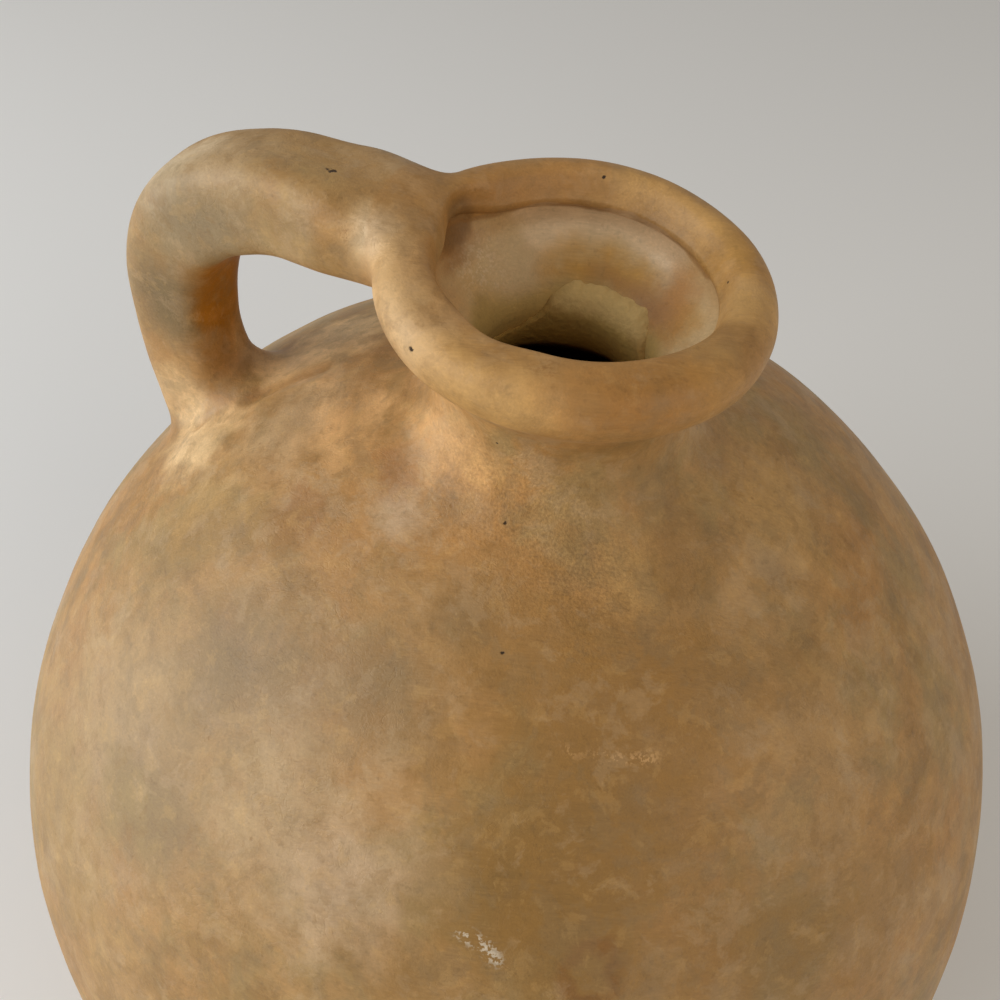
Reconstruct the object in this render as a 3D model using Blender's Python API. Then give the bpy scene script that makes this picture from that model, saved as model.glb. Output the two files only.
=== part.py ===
"""Earthenware jug vase, as the clay pieces that a potter throws, pulls and lutes together.

Metres, +Z up. The origin is the centre of the flat base, and the handle stands on the -X side.
A turned profile is a list of (radius, height) points. Every seam is a groove in the lower piece and
a ridge on the upper one, with a film of slip between them.
"""

import math

import bmesh
import bpy

# Belly: a bowl and a shoulder dome that meet at the widest line
BELLY_RADIUS = 0.110
BELLY_HEIGHT = 0.098
CROWN_RISE = 0.1158
BASE_RADIUS = 0.052
BASE_EDGE = 0.0030
WALL = 0.0070
FLOOR = 0.0090

# Neck: a waisted collar in the opening of the shoulder, with a cup above its throat
SHOULDER_OPENING = 0.040
NECK_HEIGHT = 0.0300
NECK_WAIST_RISE = 0.0170
NECK_WAIST_RADIUS = 0.0215
NECK_WALL = 0.0070
NECK_SWEEP = 0.0110
CUP_SWEEP = 0.0060
CUP_UNDERCUT = 0.0035

# Rolled rim: an ellipse of clay, pared to a slope where it sits on the collar
RIM_RADIUS = 0.0262
RIM_HALF_WIDTH = 0.0048
RIM_CREST = 0.0047
RIM_UNDERSIDE = 0.0065
RIM_SEAT_DROP = 0.0050
RIM_INNER_DROP = 0.0012

# Handle: a pulled strap that runs out from the rim, bends and drops on the shoulder
HANDLE_RUN = 0.0040
HANDLE_BEND = 0.0310
HANDLE_ROOT_DROP = 0.0012
HANDLE_ROOT_DEPTH = 0.0155
HANDLE_ROOT_WIDTH = 0.0180
HANDLE_CROWN_DEPTH = 0.0173
HANDLE_LEG_WIDTH = 0.0160
HANDLE_LEG_DEPTH = 0.0155
HANDLE_SQUARENESS = 2.6
HANDLE_RAMP = 0.0120

# Luting clay: wads round both ends of the strap, and a smear round the throat
RIM_LUTE_LENGTH = 0.0100
RIM_LUTE_FLARE = 0.0055
FOOT_LUTE_RISE = 0.0100
FOOT_LUTE_FLARE = 0.0065
LUTE_EDGE = 0.0009
THROAT_LUTE = 0.0017
THROAT_LUTE_RISE = 0.0075
THROAT_LUTE_WAVE = 0.0018
THROAT_LUTE_DROP = 0.0060
THROAT_LUTE_LOBES = 3

# Seams: the film of slip between two pieces, and the depth of a groove
SLIP = 0.0003
SEAM_DEPTH = 0.0025

# Facets
TURN_STEPS = 48
CURVE_STEPS = 8
BEND_STEPS = 10
STRAP_SIDES = 24
FLARE_STEPS = 5
SMOOTH_ANGLE = math.radians(35)

# Fineness of the sums: doubled points, the halvings of a search, and the step of a slope on a curve
MERGE = 0.00003
HALVINGS = 40
SLOPE_STEP = 0.001

CLAY_COLOUR = (0.50, 0.30, 0.13, 1.0)
LUTE_COLOUR = (0.60, 0.40, 0.21, 1.0)
CLAY_ROUGHNESS = 0.55

# Places that follow from the sizes above
LOWER_AXIS = BELLY_HEIGHT / math.sqrt(1 - (BASE_RADIUS / BELLY_RADIUS) ** 2)
OPENING_TURN = math.acos(SHOULDER_OPENING / BELLY_RADIUS)


def mix(start, stop, share):
    """The value that lies this share of the way from start to stop."""
    return start + (stop - start) * share


def spread(start, stop, steps):
    """Evenly spaced values from start to stop, both ends included."""
    return [mix(start, stop, step / steps) for step in range(steps + 1)]


def shift(point, direction, distance):
    """The point moved along a direction in the (radius, height) plane."""
    return (point[0] + direction[0] * distance, point[1] + direction[1] * distance)


def unit(direction):
    """The direction at length one."""
    length = math.hypot(*direction)
    return (direction[0] / length, direction[1] / length)


def bezier(controls, share):
    """The point of a Bezier curve at this share of its run."""
    while len(controls) > 1:
        controls = [
            tuple(mix(a, b, share) for a, b in zip(first, second))
            for first, second in zip(controls, controls[1:])
        ]
    return controls[0]


def curve(controls):
    """The points of a Bezier curve, end to end."""
    return [bezier(controls, share) for share in spread(0, 1, CURVE_STEPS)]


def belly_normal(rise, turn):
    """Outward normal of the belly's ellipse at a turn from its widest line."""
    return unit((math.cos(turn) / BELLY_RADIUS, math.sin(turn) / rise))


def belly(rise, turn, depth):
    """A point of the belly at a turn from its widest line, at a depth below the outer skin."""
    skin_point = (BELLY_RADIUS * math.cos(turn), BELLY_HEIGHT + rise * math.sin(turn))
    return shift(skin_point, belly_normal(rise, turn), -depth)


def shoulder_height(radius):
    """Height of the shoulder's outer skin at a radius."""
    return BELLY_HEIGHT + CROWN_RISE * math.sqrt(1 - (radius / BELLY_RADIUS) ** 2)


def seam(outer, inner):
    """Edge points of a seam between two walls, from the outer skin to the inner one.

    The piece above lies on the left of the way from inner to outer.
    Returns the groove of the lower piece and the ridge of the upper one, a film of slip apart.
    """
    across = unit((outer[0] - inner[0], outer[1] - inner[1]))
    above = (-across[1], across[0])
    half_width = math.dist(outer, inner) / 2
    middle = shift(inner, across, half_width)
    groove = [outer, shift(middle, above, -SEAM_DEPTH), inner]
    lift = SLIP * math.hypot(half_width, SEAM_DEPTH) / half_width
    return groove, [shift(point, above, lift) for point in groove]


BELLY_GROOVE, BELLY_RIDGE = seam((BELLY_RADIUS, BELLY_HEIGHT), (BELLY_RADIUS - WALL, BELLY_HEIGHT))
OPENING_GROOVE, OPENING_RIDGE = seam(
    belly(CROWN_RISE, OPENING_TURN, 0), belly(CROWN_RISE, OPENING_TURN, WALL)
)
OPENING_HEIGHT = shoulder_height(SHOULDER_OPENING)
SEAT_HEIGHT = OPENING_HEIGHT + NECK_HEIGHT
RIM_HEIGHT = SEAT_HEIGHT + RIM_SEAT_DROP
RIM_OUTSIDE = RIM_RADIUS + RIM_HALF_WIDTH
SEAT_TURN = math.asin(RIM_SEAT_DROP / RIM_UNDERSIDE)
INNER_SEAT_TURN = math.asin(RIM_INNER_DROP / RIM_UNDERSIDE)
SEAT_GROOVE, SEAT_RIDGE = seam(
    (RIM_RADIUS + RIM_HALF_WIDTH * math.cos(SEAT_TURN), SEAT_HEIGHT),
    (RIM_RADIUS - RIM_HALF_WIDTH * math.cos(INNER_SEAT_TURN), RIM_HEIGHT - RIM_INNER_DROP),
)
WAIST = (NECK_WAIST_RADIUS, OPENING_HEIGHT + NECK_WAIST_RISE)
THROAT = (NECK_WAIST_RADIUS - NECK_WALL, WAIST[1])
UP = (0.0, 1.0)
INTO_NECK = (
    -belly_normal(CROWN_RISE, OPENING_TURN)[1],
    belly_normal(CROWN_RISE, OPENING_TURN)[0],
)
CUP_CURVE = (
    SEAT_GROOVE[-1],
    (SEAT_GROOVE[-1][0] + CUP_UNDERCUT, SEAT_GROOVE[-1][1] - CUP_SWEEP),
    shift(THROAT, UP, CUP_SWEEP),
    THROAT,
)
BELL_CURVE = (
    THROAT,
    shift(THROAT, UP, -NECK_SWEEP),
    shift(OPENING_RIDGE[-1], INTO_NECK, NECK_SWEEP),
    OPENING_RIDGE[-1],
)


def clay(name, colour):
    """A plain fired-clay material."""
    material = bpy.data.materials.new(name)
    material.use_nodes = True
    shader = material.node_tree.nodes["Principled BSDF"]
    shader.inputs["Base Color"].default_value = colour
    shader.inputs["Roughness"].default_value = CLAY_ROUGHNESS
    shader.inputs["Metallic"].default_value = 0.0
    return material


def finish(name, shape, colour):
    """A named object from a bmesh whose faces are turned outwards, shaded smooth, in its own clay."""
    bmesh.ops.recalc_face_normals(shape, faces=shape.faces)
    mesh = bpy.data.meshes.new(name)
    shape.to_mesh(mesh)
    shape.free()
    mesh.shade_smooth()
    mesh.set_sharp_from_angle(angle=SMOOTH_ANGLE)
    mesh.materials.append(clay(name + "_clay", colour))
    piece = bpy.data.objects.new(name, mesh)
    bpy.context.scene.collection.objects.link(piece)
    return piece


def turned(name, profile, colour, closed=True):
    """A piece thrown on the wheel: the profile spun round the Z axis.

    A closed profile is a ring's section. An open one begins and ends on the axis.
    """
    shape = bmesh.new()
    points = [shape.verts.new((radius, 0.0, height)) for radius, height in profile]
    sides = [shape.edges.new(ends) for ends in zip(points, points[1:])]
    if closed:
        sides.append(shape.edges.new((points[-1], points[0])))
    bmesh.ops.spin(
        shape,
        geom=points + sides,
        cent=(0.0, 0.0, 0.0),
        axis=(0.0, 0.0, 1.0),
        angle=math.tau,
        steps=TURN_STEPS,
    )
    bmesh.ops.remove_doubles(shape, verts=shape.verts, dist=MERGE)
    return finish(name, shape, colour)


def skinned(name, rings, colour, closed=False):
    """A piece skinned over rings of points, with capped ends or, where closed, back to its first ring."""
    shape = bmesh.new()
    loops = [[shape.verts.new(point) for point in ring] for ring in rings]
    pairs = list(zip(loops, loops[1:]))
    if closed:
        pairs.append((loops[-1], loops[0]))
    else:
        shape.faces.new(loops[0])
        shape.faces.new(loops[-1])
    for first, second in pairs:
        for side in range(len(first)):
            after = (side + 1) % len(first)
            shape.faces.new((first[side], first[after], second[after], second[side]))
    return finish(name, shape, colour)


def cut(piece, cutter):
    """Takes a cutter's shape out of a piece, and keeps the cutter out of the picture."""
    cutter.hide_render = True
    cutter.display_type = "WIRE"
    modifier = piece.modifiers.new("fit_" + cutter.name, "BOOLEAN")
    modifier.operation = "DIFFERENCE"
    modifier.object = cutter


def make_lower_body():
    """The thrown bowl: flat base, thick floor, and a wall that swells up to the belly seam."""
    floor_turn = -math.asin((BELLY_HEIGHT - FLOOR) / (LOWER_AXIS - WALL))
    edge_turn = -math.asin((BELLY_HEIGHT - BASE_EDGE) / LOWER_AXIS)
    inside = [belly(LOWER_AXIS, turn, WALL) for turn in spread(floor_turn, 0, CURVE_STEPS)]
    outside = [belly(LOWER_AXIS, turn, 0) for turn in spread(0, edge_turn, CURVE_STEPS)]
    floor_radius = inside[0][0]
    foot = [
        bezier((outside[-1], (BASE_RADIUS, 0.0), (BASE_RADIUS - BASE_EDGE, 0.0)), share)
        for share in (0.5, 1.0)
    ]
    middle = [(0.0, FLOOR), (floor_radius / 2, FLOOR)]
    profile = middle + [(floor_radius, FLOOR)] + inside[1:-1] + BELLY_GROOVE[::-1] + outside[1:] + foot
    profile += [(BASE_RADIUS / 2, 0.0), (0.0, 0.0)]
    return turned("lower_body", profile, CLAY_COLOUR, closed=False)


def make_upper_body():
    """The thrown shoulder dome, from the belly seam to the opening that takes the neck."""
    turns = spread(0, OPENING_TURN, CURVE_STEPS)[1:-1]
    outside = [belly(CROWN_RISE, turn, 0) for turn in turns]
    inside = [belly(CROWN_RISE, turn, WALL) for turn in turns]
    profile = BELLY_RIDGE[::-1] + outside + OPENING_GROOVE + inside[::-1]
    return turned("upper_body", profile, CLAY_COLOUR)


def neck_outside():
    """Outer skin of the neck, from the shoulder's opening in to the waist and out under the rim."""
    root = OPENING_RIDGE[0]
    lip = SEAT_GROOVE[0]
    flare = shift(lip, unit((lip[0] - WAIST[0], lip[1] - WAIST[1])), -CUP_SWEEP)
    rise = curve((root, shift(root, INTO_NECK, NECK_SWEEP), shift(WAIST, UP, -NECK_SWEEP), WAIST))
    return rise + curve((WAIST, shift(WAIST, UP, CUP_SWEEP), flare, lip))[1:]


def make_neck_collar():
    """The neck: a flare off the shoulder, a waist, and a cup that narrows to the throat inside."""
    bore = curve(CUP_CURVE) + curve(BELL_CURVE)[1:]
    profile = neck_outside() + [SEAT_GROOVE[1]] + bore + [OPENING_RIDGE[1]]
    return turned("neck_collar", profile, CLAY_COLOUR)


def rim_skin(start, stop, steps, clearance):
    """Points of the rim's rolled section between two turns, grown by a clearance."""
    points = []
    for turn in spread(start, stop, steps):
        rise = RIM_CREST if math.sin(turn) > 0 else RIM_UNDERSIDE
        across = (RIM_HALF_WIDTH + clearance) * math.cos(turn)
        points.append((RIM_RADIUS + across, RIM_HEIGHT + (rise + clearance) * math.sin(turn)))
    return points


def make_rolled_rim():
    """The rolled lip, seated on the collar. Inside it overhangs the cup by the curl of its section."""
    roll = rim_skin(-SEAT_TURN, math.pi + INNER_SEAT_TURN, 2 * CURVE_STEPS, 0.0)
    return turned("rolled_rim", roll[1:-1] + SEAT_RIDGE[::-1], CLAY_COLOUR)


def at_height(controls, height):
    """Share of a falling Bezier curve at which it passes a height."""
    low, high = 0.0, 1.0
    for _ in range(HALVINGS):
        middle = (low + high) / 2
        if bezier(controls, middle)[1] > height:
            low = middle
        else:
            high = middle
    return low


def lining(controls, start, stop, depth):
    """Points along a stretch of the bore, moved in from its wall by a depth."""
    points = []
    for share in spread(start, stop, FLARE_STEPS):
        before = bezier(controls, max(share - SLOPE_STEP, 0.0))
        after = bezier(controls, min(share + SLOPE_STEP, 1.0))
        along = unit((after[0] - before[0], after[1] - before[1]))
        points.append(shift(bezier(controls, share), (along[1], -along[0]), depth))
    return points


def make_throat_lute():
    """The smear of clay that lines the throat, with a torn, wavy edge in the cup above it."""
    drop = at_height(BELL_CURVE, THROAT[1] - THROAT_LUTE_DROP)
    rings = []
    for step in range(TURN_STEPS):
        turn = math.tau * step / TURN_STEPS
        edge = THROAT_LUTE_RISE + THROAT_LUTE_WAVE * math.cos(THROAT_LUTE_LOBES * turn)
        top = at_height(CUP_CURVE, THROAT[1] + edge)
        back, face = (
            lining(CUP_CURVE, top, 1.0, depth) + lining(BELL_CURVE, 0.0, drop, depth)[1:]
            for depth in (SLIP, SLIP + THROAT_LUTE)
        )
        rings.append(
            [
                (radius * math.cos(turn), radius * math.sin(turn), height)
                for radius, height in back + face[::-1]
            ]
        )
    return skinned("throat_lute", rings, LUTE_COLOUR, closed=True)


def strap_section(half_width, half_depth):
    """The strap's rounded-square section as (across, outward) pairs."""
    section = []
    for side in range(STRAP_SIDES):
        turn = math.tau * side / STRAP_SIDES
        across = math.copysign(abs(math.cos(turn)) ** (2 / HANDLE_SQUARENESS), math.cos(turn))
        outward = math.copysign(abs(math.sin(turn)) ** (2 / HANDLE_SQUARENESS), math.sin(turn))
        section.append((half_width * across, half_depth * outward))
    return section


BEND_START = RIM_OUTSIDE + RIM_LUTE_LENGTH + HANDLE_RUN
HANDLE_REACH = BEND_START + HANDLE_BEND
REBATE = SLIP + LUTE_EDGE


def run_ring(proud, from_rim):
    """A ring of the strap's run, following the curve of the rim at a distance from it.

    proud is how far the ring stands out of the strap's full section, as (across, outward).
    """
    share = from_rim / (RIM_LUTE_LENGTH + HANDLE_RUN)
    depth = mix(HANDLE_ROOT_DEPTH, HANDLE_CROWN_DEPTH, share)
    height = RIM_HEIGHT - mix(HANDLE_ROOT_DROP, 0.0, share)
    section = strap_section(HANDLE_ROOT_WIDTH / 2 + proud[0], depth / 2 + proud[1])
    return [
        (-math.sqrt(RIM_OUTSIDE**2 - across**2) - from_rim, across, height + outward)
        for across, outward in section
    ]


def bend_ring(turn, proud):
    """A ring of the strap's bend, at a turn from the run."""
    share = turn / (math.pi / 2)
    half_width = mix(HANDLE_ROOT_WIDTH, HANDLE_LEG_WIDTH, share) / 2 + proud
    half_depth = mix(HANDLE_CROWN_DEPTH, HANDLE_LEG_DEPTH, share) / 2 + proud
    ring = []
    for across, outward in strap_section(half_width, half_depth):
        radius = BEND_START + (HANDLE_BEND + outward) * math.sin(turn)
        height = RIM_HEIGHT - HANDLE_BEND + (HANDLE_BEND + outward) * math.cos(turn)
        ring.append((-radius, across, height))
    return ring


def leg_ring(proud, rise):
    """A ring of the strap's leg, following the curve of the shoulder at a height above it."""
    section = strap_section(HANDLE_LEG_WIDTH / 2 + proud, HANDLE_LEG_DEPTH / 2 + proud)
    ring = []
    for across, outward in section:
        radius = HANDLE_REACH + outward
        height = shoulder_height(math.hypot(radius, across)) + rise
        ring.append((-radius, across, height))
    return ring


def strap_rings(clearance):
    """Rings of the whole strap, grown by a clearance. Both its ends are pared down to take their lutes."""
    pared = (clearance - REBATE, clearance - REBATE)
    full = (clearance, clearance)
    rings = [run_ring(pared, -RIM_HALF_WIDTH), run_ring(pared, RIM_LUTE_LENGTH - clearance)]
    rings.append(run_ring(full, RIM_LUTE_LENGTH - clearance))
    rings += [bend_ring(turn, clearance) for turn in spread(0, math.pi / 2, BEND_STEPS)]
    rings.append(leg_ring(clearance, FOOT_LUTE_RISE - clearance))
    rings.append(leg_ring(clearance - REBATE, FOOT_LUTE_RISE - clearance))
    rings.append(leg_ring(clearance - REBATE, -WALL))
    return rings


def vessel_cutter():
    """The outside of the shoulder, neck and rim, grown by a film of slip: what the strap is fitted to.

    Above the rim's crest it opens in a ramp, so that the strap's top slopes down to the crest.
    """
    turns = spread(0, OPENING_TURN, CURVE_STEPS)
    shoulder = [belly(CROWN_RISE, turn, -SLIP) for turn in turns]
    neck = [(radius + SLIP, height + SLIP) for radius, height in neck_outside()[1:-1]]
    roll = rim_skin(-SEAT_TURN, math.pi / 2, CURVE_STEPS, SLIP)
    crest = roll[-1]
    ramp = [(crest[0] + HANDLE_RAMP, crest[1] + HANDLE_RAMP), (0.0, crest[1] + HANDLE_RAMP)]
    profile = [(0.0, BELLY_HEIGHT)] + shoulder + neck + roll + ramp
    return turned("vessel_cutter", profile, CLAY_COLOUR, closed=False)


def make_handle(vessel):
    """The pulled strap, fitted to the rim at its root and to the shoulder at its foot."""
    handle = skinned("handle", strap_rings(0.0), CLAY_COLOUR)
    cut(handle, vessel)


def flare_shares():
    """Steps of a lute's hollow flare, as (share of its length, share of its spread) pairs."""
    return [(share, (1 - share) ** 2) for share in spread(0, 1, FLARE_STEPS)]


def make_handle_rim_lute(vessel, strap):
    """The wad of clay round the strap's root, spread sideways along the rim."""
    rings = [run_ring((RIM_LUTE_FLARE, 0.0), -RIM_HALF_WIDTH)]
    for share, spread_share in flare_shares():
        from_rim = mix(LUTE_EDGE, RIM_LUTE_LENGTH, share)
        rings.append(run_ring((RIM_LUTE_FLARE * spread_share, 0.0), from_rim))
    lute = skinned("handle_rim_lute", rings, LUTE_COLOUR)
    cut(lute, vessel)
    cut(lute, strap)


def make_handle_foot_lute(vessel, strap):
    """The wad of clay round the strap's foot, spread on the shoulder."""
    rings = [leg_ring(FOOT_LUTE_FLARE, -WALL)]
    for share, spread_share in flare_shares():
        rise = mix(LUTE_EDGE, FOOT_LUTE_RISE, share)
        rings.append(leg_ring(FOOT_LUTE_FLARE * spread_share, rise))
    lute = skinned("handle_foot_lute", rings, LUTE_COLOUR)
    cut(lute, vessel)
    cut(lute, strap)


def main():
    """Clears the scene and makes the jug."""
    for thing in list(bpy.data.objects):
        bpy.data.objects.remove(thing)
    make_lower_body()
    make_upper_body()
    make_neck_collar()
    make_rolled_rim()
    make_throat_lute()
    vessel = vessel_cutter()
    strap = skinned("strap_cutter", strap_rings(SLIP), CLAY_COLOUR)
    make_handle(vessel)
    make_handle_rim_lute(vessel, strap)
    make_handle_foot_lute(vessel, strap)


main()
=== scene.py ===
"""Dresses the packed earthenware jug vase: clay skins, their finishes, the studio and the camera.

Metres, +Z up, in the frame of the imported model. The origin is the centre of the flat base, and the
handle stands on the -X side. Every skin has the place of the clay piece that it stands for.
"""

from __future__ import annotations

import logging
import math
from dataclasses import dataclass
from enum import Enum
from typing import Mapping, Sequence, Union

import bmesh
import bpy
import numpy as np
from mathutils import Euler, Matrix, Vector, noise

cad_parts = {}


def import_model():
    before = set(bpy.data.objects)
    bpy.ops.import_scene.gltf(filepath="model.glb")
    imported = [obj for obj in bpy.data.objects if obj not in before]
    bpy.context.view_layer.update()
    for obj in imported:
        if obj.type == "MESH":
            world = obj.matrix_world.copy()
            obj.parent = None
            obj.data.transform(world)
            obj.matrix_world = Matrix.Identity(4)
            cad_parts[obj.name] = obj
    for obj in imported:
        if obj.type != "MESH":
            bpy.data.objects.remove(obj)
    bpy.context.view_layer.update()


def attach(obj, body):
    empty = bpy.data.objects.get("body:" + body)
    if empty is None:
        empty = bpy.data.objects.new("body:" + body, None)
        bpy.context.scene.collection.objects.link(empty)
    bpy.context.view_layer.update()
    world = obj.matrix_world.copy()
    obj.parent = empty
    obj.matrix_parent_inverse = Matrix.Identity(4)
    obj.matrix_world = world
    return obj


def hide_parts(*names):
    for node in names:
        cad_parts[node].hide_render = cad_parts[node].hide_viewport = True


LOG = logging.getLogger("jug_vase")

Pair = tuple[float, float]
Place = tuple[float, float, float]
Colour = tuple[float, float, float]
Ring = list[Place]


class Slot(Enum):
    """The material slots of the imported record."""

    BODY = "body_clay"
    LUTING = "luting_clay"


def mix(start: float, stop: float, share: float) -> float:
    """The value that lies this share of the way from start to stop."""
    return start + (stop - start) * share


def blend(start: Pair, stop: Pair, share: float) -> Pair:
    """The point that lies this share of the way from start to stop."""
    return (mix(start[0], stop[0], share), mix(start[1], stop[1], share))


def spread(start: float, stop: float, steps: int) -> list[float]:
    """Evenly spaced values from start to stop, both ends included."""
    return [mix(start, stop, step / steps) for step in range(steps + 1)]


def ease(values: np.ndarray, low: float, high: float) -> np.ndarray:
    """A smooth rise from 0 at low to 1 at high.

    Args:
        values: The numbers to be graded.
        low: Where the rise starts.
        high: Where it ends. It may be below low, for a fall.

    Returns:
        One share for each value.
    """
    share = np.clip((values - low) / (high - low), 0.0, 1.0)
    return share * share * (3.0 - 2.0 * share)


def shift(point: Pair, direction: Pair, distance: float) -> Pair:
    """The point moved along a direction in the (radius, height) plane."""
    return (point[0] + direction[0] * distance, point[1] + direction[1] * distance)


def unit(direction: Pair) -> Pair:
    """The direction at length one."""
    length = math.hypot(*direction)
    return (direction[0] / length, direction[1] / length)


def bezier(controls: Sequence[Sequence[float]], share: float) -> tuple[float, ...]:
    """The point of a Bezier curve at this share of its run.

    Args:
        controls: The curve's control points, its ends among them.
        share: 0 at its start, 1 at its end.

    Returns:
        The point.
    """
    points = [tuple(control) for control in controls]
    while len(points) > 1:
        points = [
            tuple(mix(a, b, share) for a, b in zip(first, second))
            for first, second in zip(points, points[1:])
        ]
    return points[0]


def hemmed(steps: int, hem: float) -> list[float]:
    """Shares of a run from 0 to 1 with one more point close to either end.

    The close points hold the shading of a skin's edge to that of the skin next to it.

    Args:
        steps: How many even steps the run has.
        hem: How far in from an end the extra point lies.

    Returns:
        The shares, in rising order.
    """
    return [0.0, hem] + spread(0.0, 1.0, steps)[1:-1] + [1.0 - hem, 1.0]


@dataclass(frozen=True)
class JugForm:
    """Sizes of the jug, as its clay pieces have them, and the curves that follow from these."""

    belly_radius: float = 0.110
    belly_height: float = 0.098
    crown_rise: float = 0.1158
    base_radius: float = 0.052
    base_edge: float = 0.0030
    wall: float = 0.0070
    floor: float = 0.0090
    shoulder_opening: float = 0.040
    neck_height: float = 0.0300
    neck_waist_rise: float = 0.0170
    neck_waist_radius: float = 0.0215
    neck_wall: float = 0.0070
    neck_sweep: float = 0.0110
    cup_sweep: float = 0.0060
    cup_undercut: float = 0.0020
    rim_radius: float = 0.0262
    rim_half_width: float = 0.0048
    rim_crest: float = 0.0047
    rim_underside: float = 0.0065
    rim_seat_drop: float = 0.0050
    rim_inner_drop: float = 0.0012
    lip_edge: float = 0.0012
    lip_far_brink: Pair = (0.0006, 0.0003)
    lip_plain_shoulder: Pair = (-0.0022, -0.0002)
    lip_full_shoulder: Pair = (-0.0050, 0.0006)
    lip_plain_fall: Pair = (0.0012, 0.0018)
    lip_full_fall: Pair = (0.0004, 0.0040)
    lip_corner_steps: int = 6
    flare_step: float = 0.01
    flare_share: float = 0.6

    @property
    def opening_turn(self) -> float:
        """Turn from the widest line up to the shoulder's opening."""
        return math.acos(self.shoulder_opening / self.belly_radius)

    @property
    def lower_axis(self) -> float:
        """Half height of the ellipse that the bowl is part of."""
        return self.belly_height / math.sqrt(1 - (self.base_radius / self.belly_radius) ** 2)

    @property
    def seat_height(self) -> float:
        """Height at which the rolled lip meets the neck outside."""
        return self.shoulder_height(self.shoulder_opening) + self.neck_height

    @property
    def rim_height(self) -> float:
        """Height of the middle of the rolled lip."""
        return self.seat_height + self.rim_seat_drop

    @property
    def rim_outside(self) -> float:
        """Outer radius of the rolled lip."""
        return self.rim_radius + self.rim_half_width

    @property
    def waist(self) -> Pair:
        """The neck's narrowest point outside."""
        height = self.shoulder_height(self.shoulder_opening) + self.neck_waist_rise
        return (self.neck_waist_radius, height)

    @property
    def throat(self) -> Pair:
        """The neck's narrowest point inside."""
        return (self.neck_waist_radius - self.neck_wall, self.waist[1])

    def shoulder_height(self, radius: float) -> float:
        """Height of the shoulder's outer skin at a radius."""
        return self.belly_height + self.crown_rise * math.sqrt(1 - (radius / self.belly_radius) ** 2)

    def belly_normal(self, rise: float, turn: float) -> Pair:
        """Outward normal of the belly's ellipse at a turn from its widest line."""
        return unit((math.cos(turn) / self.belly_radius, math.sin(turn) / rise))

    def belly(self, rise: float, turn: float, depth: float) -> Pair:
        """A point of the belly.

        Args:
            rise: Half height of the ellipse on this side of the widest line.
            turn: Turn from the widest line.
            depth: How deep the point lies below the outer skin.

        Returns:
            Its radius and height.
        """
        skin_point = (
            self.belly_radius * math.cos(turn),
            self.belly_height + rise * math.sin(turn),
        )
        return shift(skin_point, self.belly_normal(rise, turn), -depth)

    def roll(self, turn: float) -> Pair:
        """A point of the rolled lip's outside, at a turn up from its outermost point.

        Args:
            turn: The turn in radians, below 0 for the underside.

        Returns:
            Its radius and height.
        """
        rise = self.rim_crest if turn > 0 else self.rim_underside
        return (
            self.rim_radius + self.rim_half_width * math.cos(turn),
            self.rim_height + rise * math.sin(turn),
        )

    @property
    def seat_turn(self) -> float:
        """Turn below the lip's outermost point at which it sits on the neck."""
        return -math.asin(self.rim_seat_drop / self.rim_underside)

    @property
    def inner_seat(self) -> Pair:
        """The edge inside the lip, above the hollow of the cup."""
        turn = math.asin(self.rim_inner_drop / self.rim_underside)
        return (
            self.rim_radius - self.rim_half_width * math.cos(turn),
            self.rim_height - self.rim_inner_drop,
        )

    @property
    def cup_edge(self) -> Pair:
        """The cup's upper edge, tucked in under the lip."""
        return (self.inner_seat[0] + self.lip_edge, self.inner_seat[1] - self.lip_edge / 3)

    @staticmethod
    def lip_fullness(turn: float) -> float:
        """How full the lip's inside is at a turn round the axis: most in front, least at the back."""
        return 0.5 - 0.5 * math.sin(turn)

    def lip_inside(self, steps: int, fullness: float) -> list[Pair]:
        """The lip's inner face from its crest to the cup's edge.

        Args:
            steps: How many steps the bevel has.
            fullness: 0 for a plain bevel, 1 for a broad crest that drops steeply to the brink.

        Returns:
            (radius, height) points, the crest among them.
        """
        crest, seat = self.roll(math.pi / 2), self.inner_seat
        brink = (
            seat[0] + self.lip_far_brink[0] * (1.0 - fullness),
            seat[1] + self.lip_edge + self.lip_far_brink[1] * (1.0 - fullness),
        )
        shoulder = blend(self.lip_plain_shoulder, self.lip_full_shoulder, fullness)
        fall = blend(self.lip_plain_fall, self.lip_full_fall, fullness)
        bevel = (
            crest,
            (crest[0] + shoulder[0], crest[1] + shoulder[1]),
            (brink[0] + fall[0], brink[1] + fall[1]),
            brink,
        )
        corner = (brink, (brink[0] - self.lip_edge / 6, brink[1] - self.lip_edge), self.cup_edge)
        points = [bezier(bevel, share) for share in spread(0, 1, steps)]
        return points + [bezier(corner, share) for share in spread(0, 1, self.lip_corner_steps)[1:]]

    @property
    def into_neck(self) -> Pair:
        """Direction up the shoulder at its opening."""
        normal = self.belly_normal(self.crown_rise, self.opening_turn)
        return (-normal[1], normal[0])

    @property
    def neck_foot(self) -> tuple[Pair, ...]:
        """Controls of the neck's outer skin from the shoulder's opening to the waist."""
        root = self.belly(self.crown_rise, self.opening_turn, 0.0)
        return (
            root,
            shift(root, self.into_neck, self.neck_sweep),
            shift(self.waist, (0.0, 1.0), -self.neck_sweep),
            self.waist,
        )

    @property
    def neck_flare(self) -> tuple[Pair, ...]:
        """Controls of the neck's outer skin from the waist to the seat of the lip."""
        seat = self.roll(self.seat_turn)
        after = self.roll(self.seat_turn + self.flare_step)
        along = unit((after[0] - seat[0], after[1] - seat[1]))
        return (
            self.waist,
            shift(self.waist, (0.0, 1.0), self.cup_sweep),
            shift(seat, along, -self.cup_sweep * self.flare_share),
            seat,
        )

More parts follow.
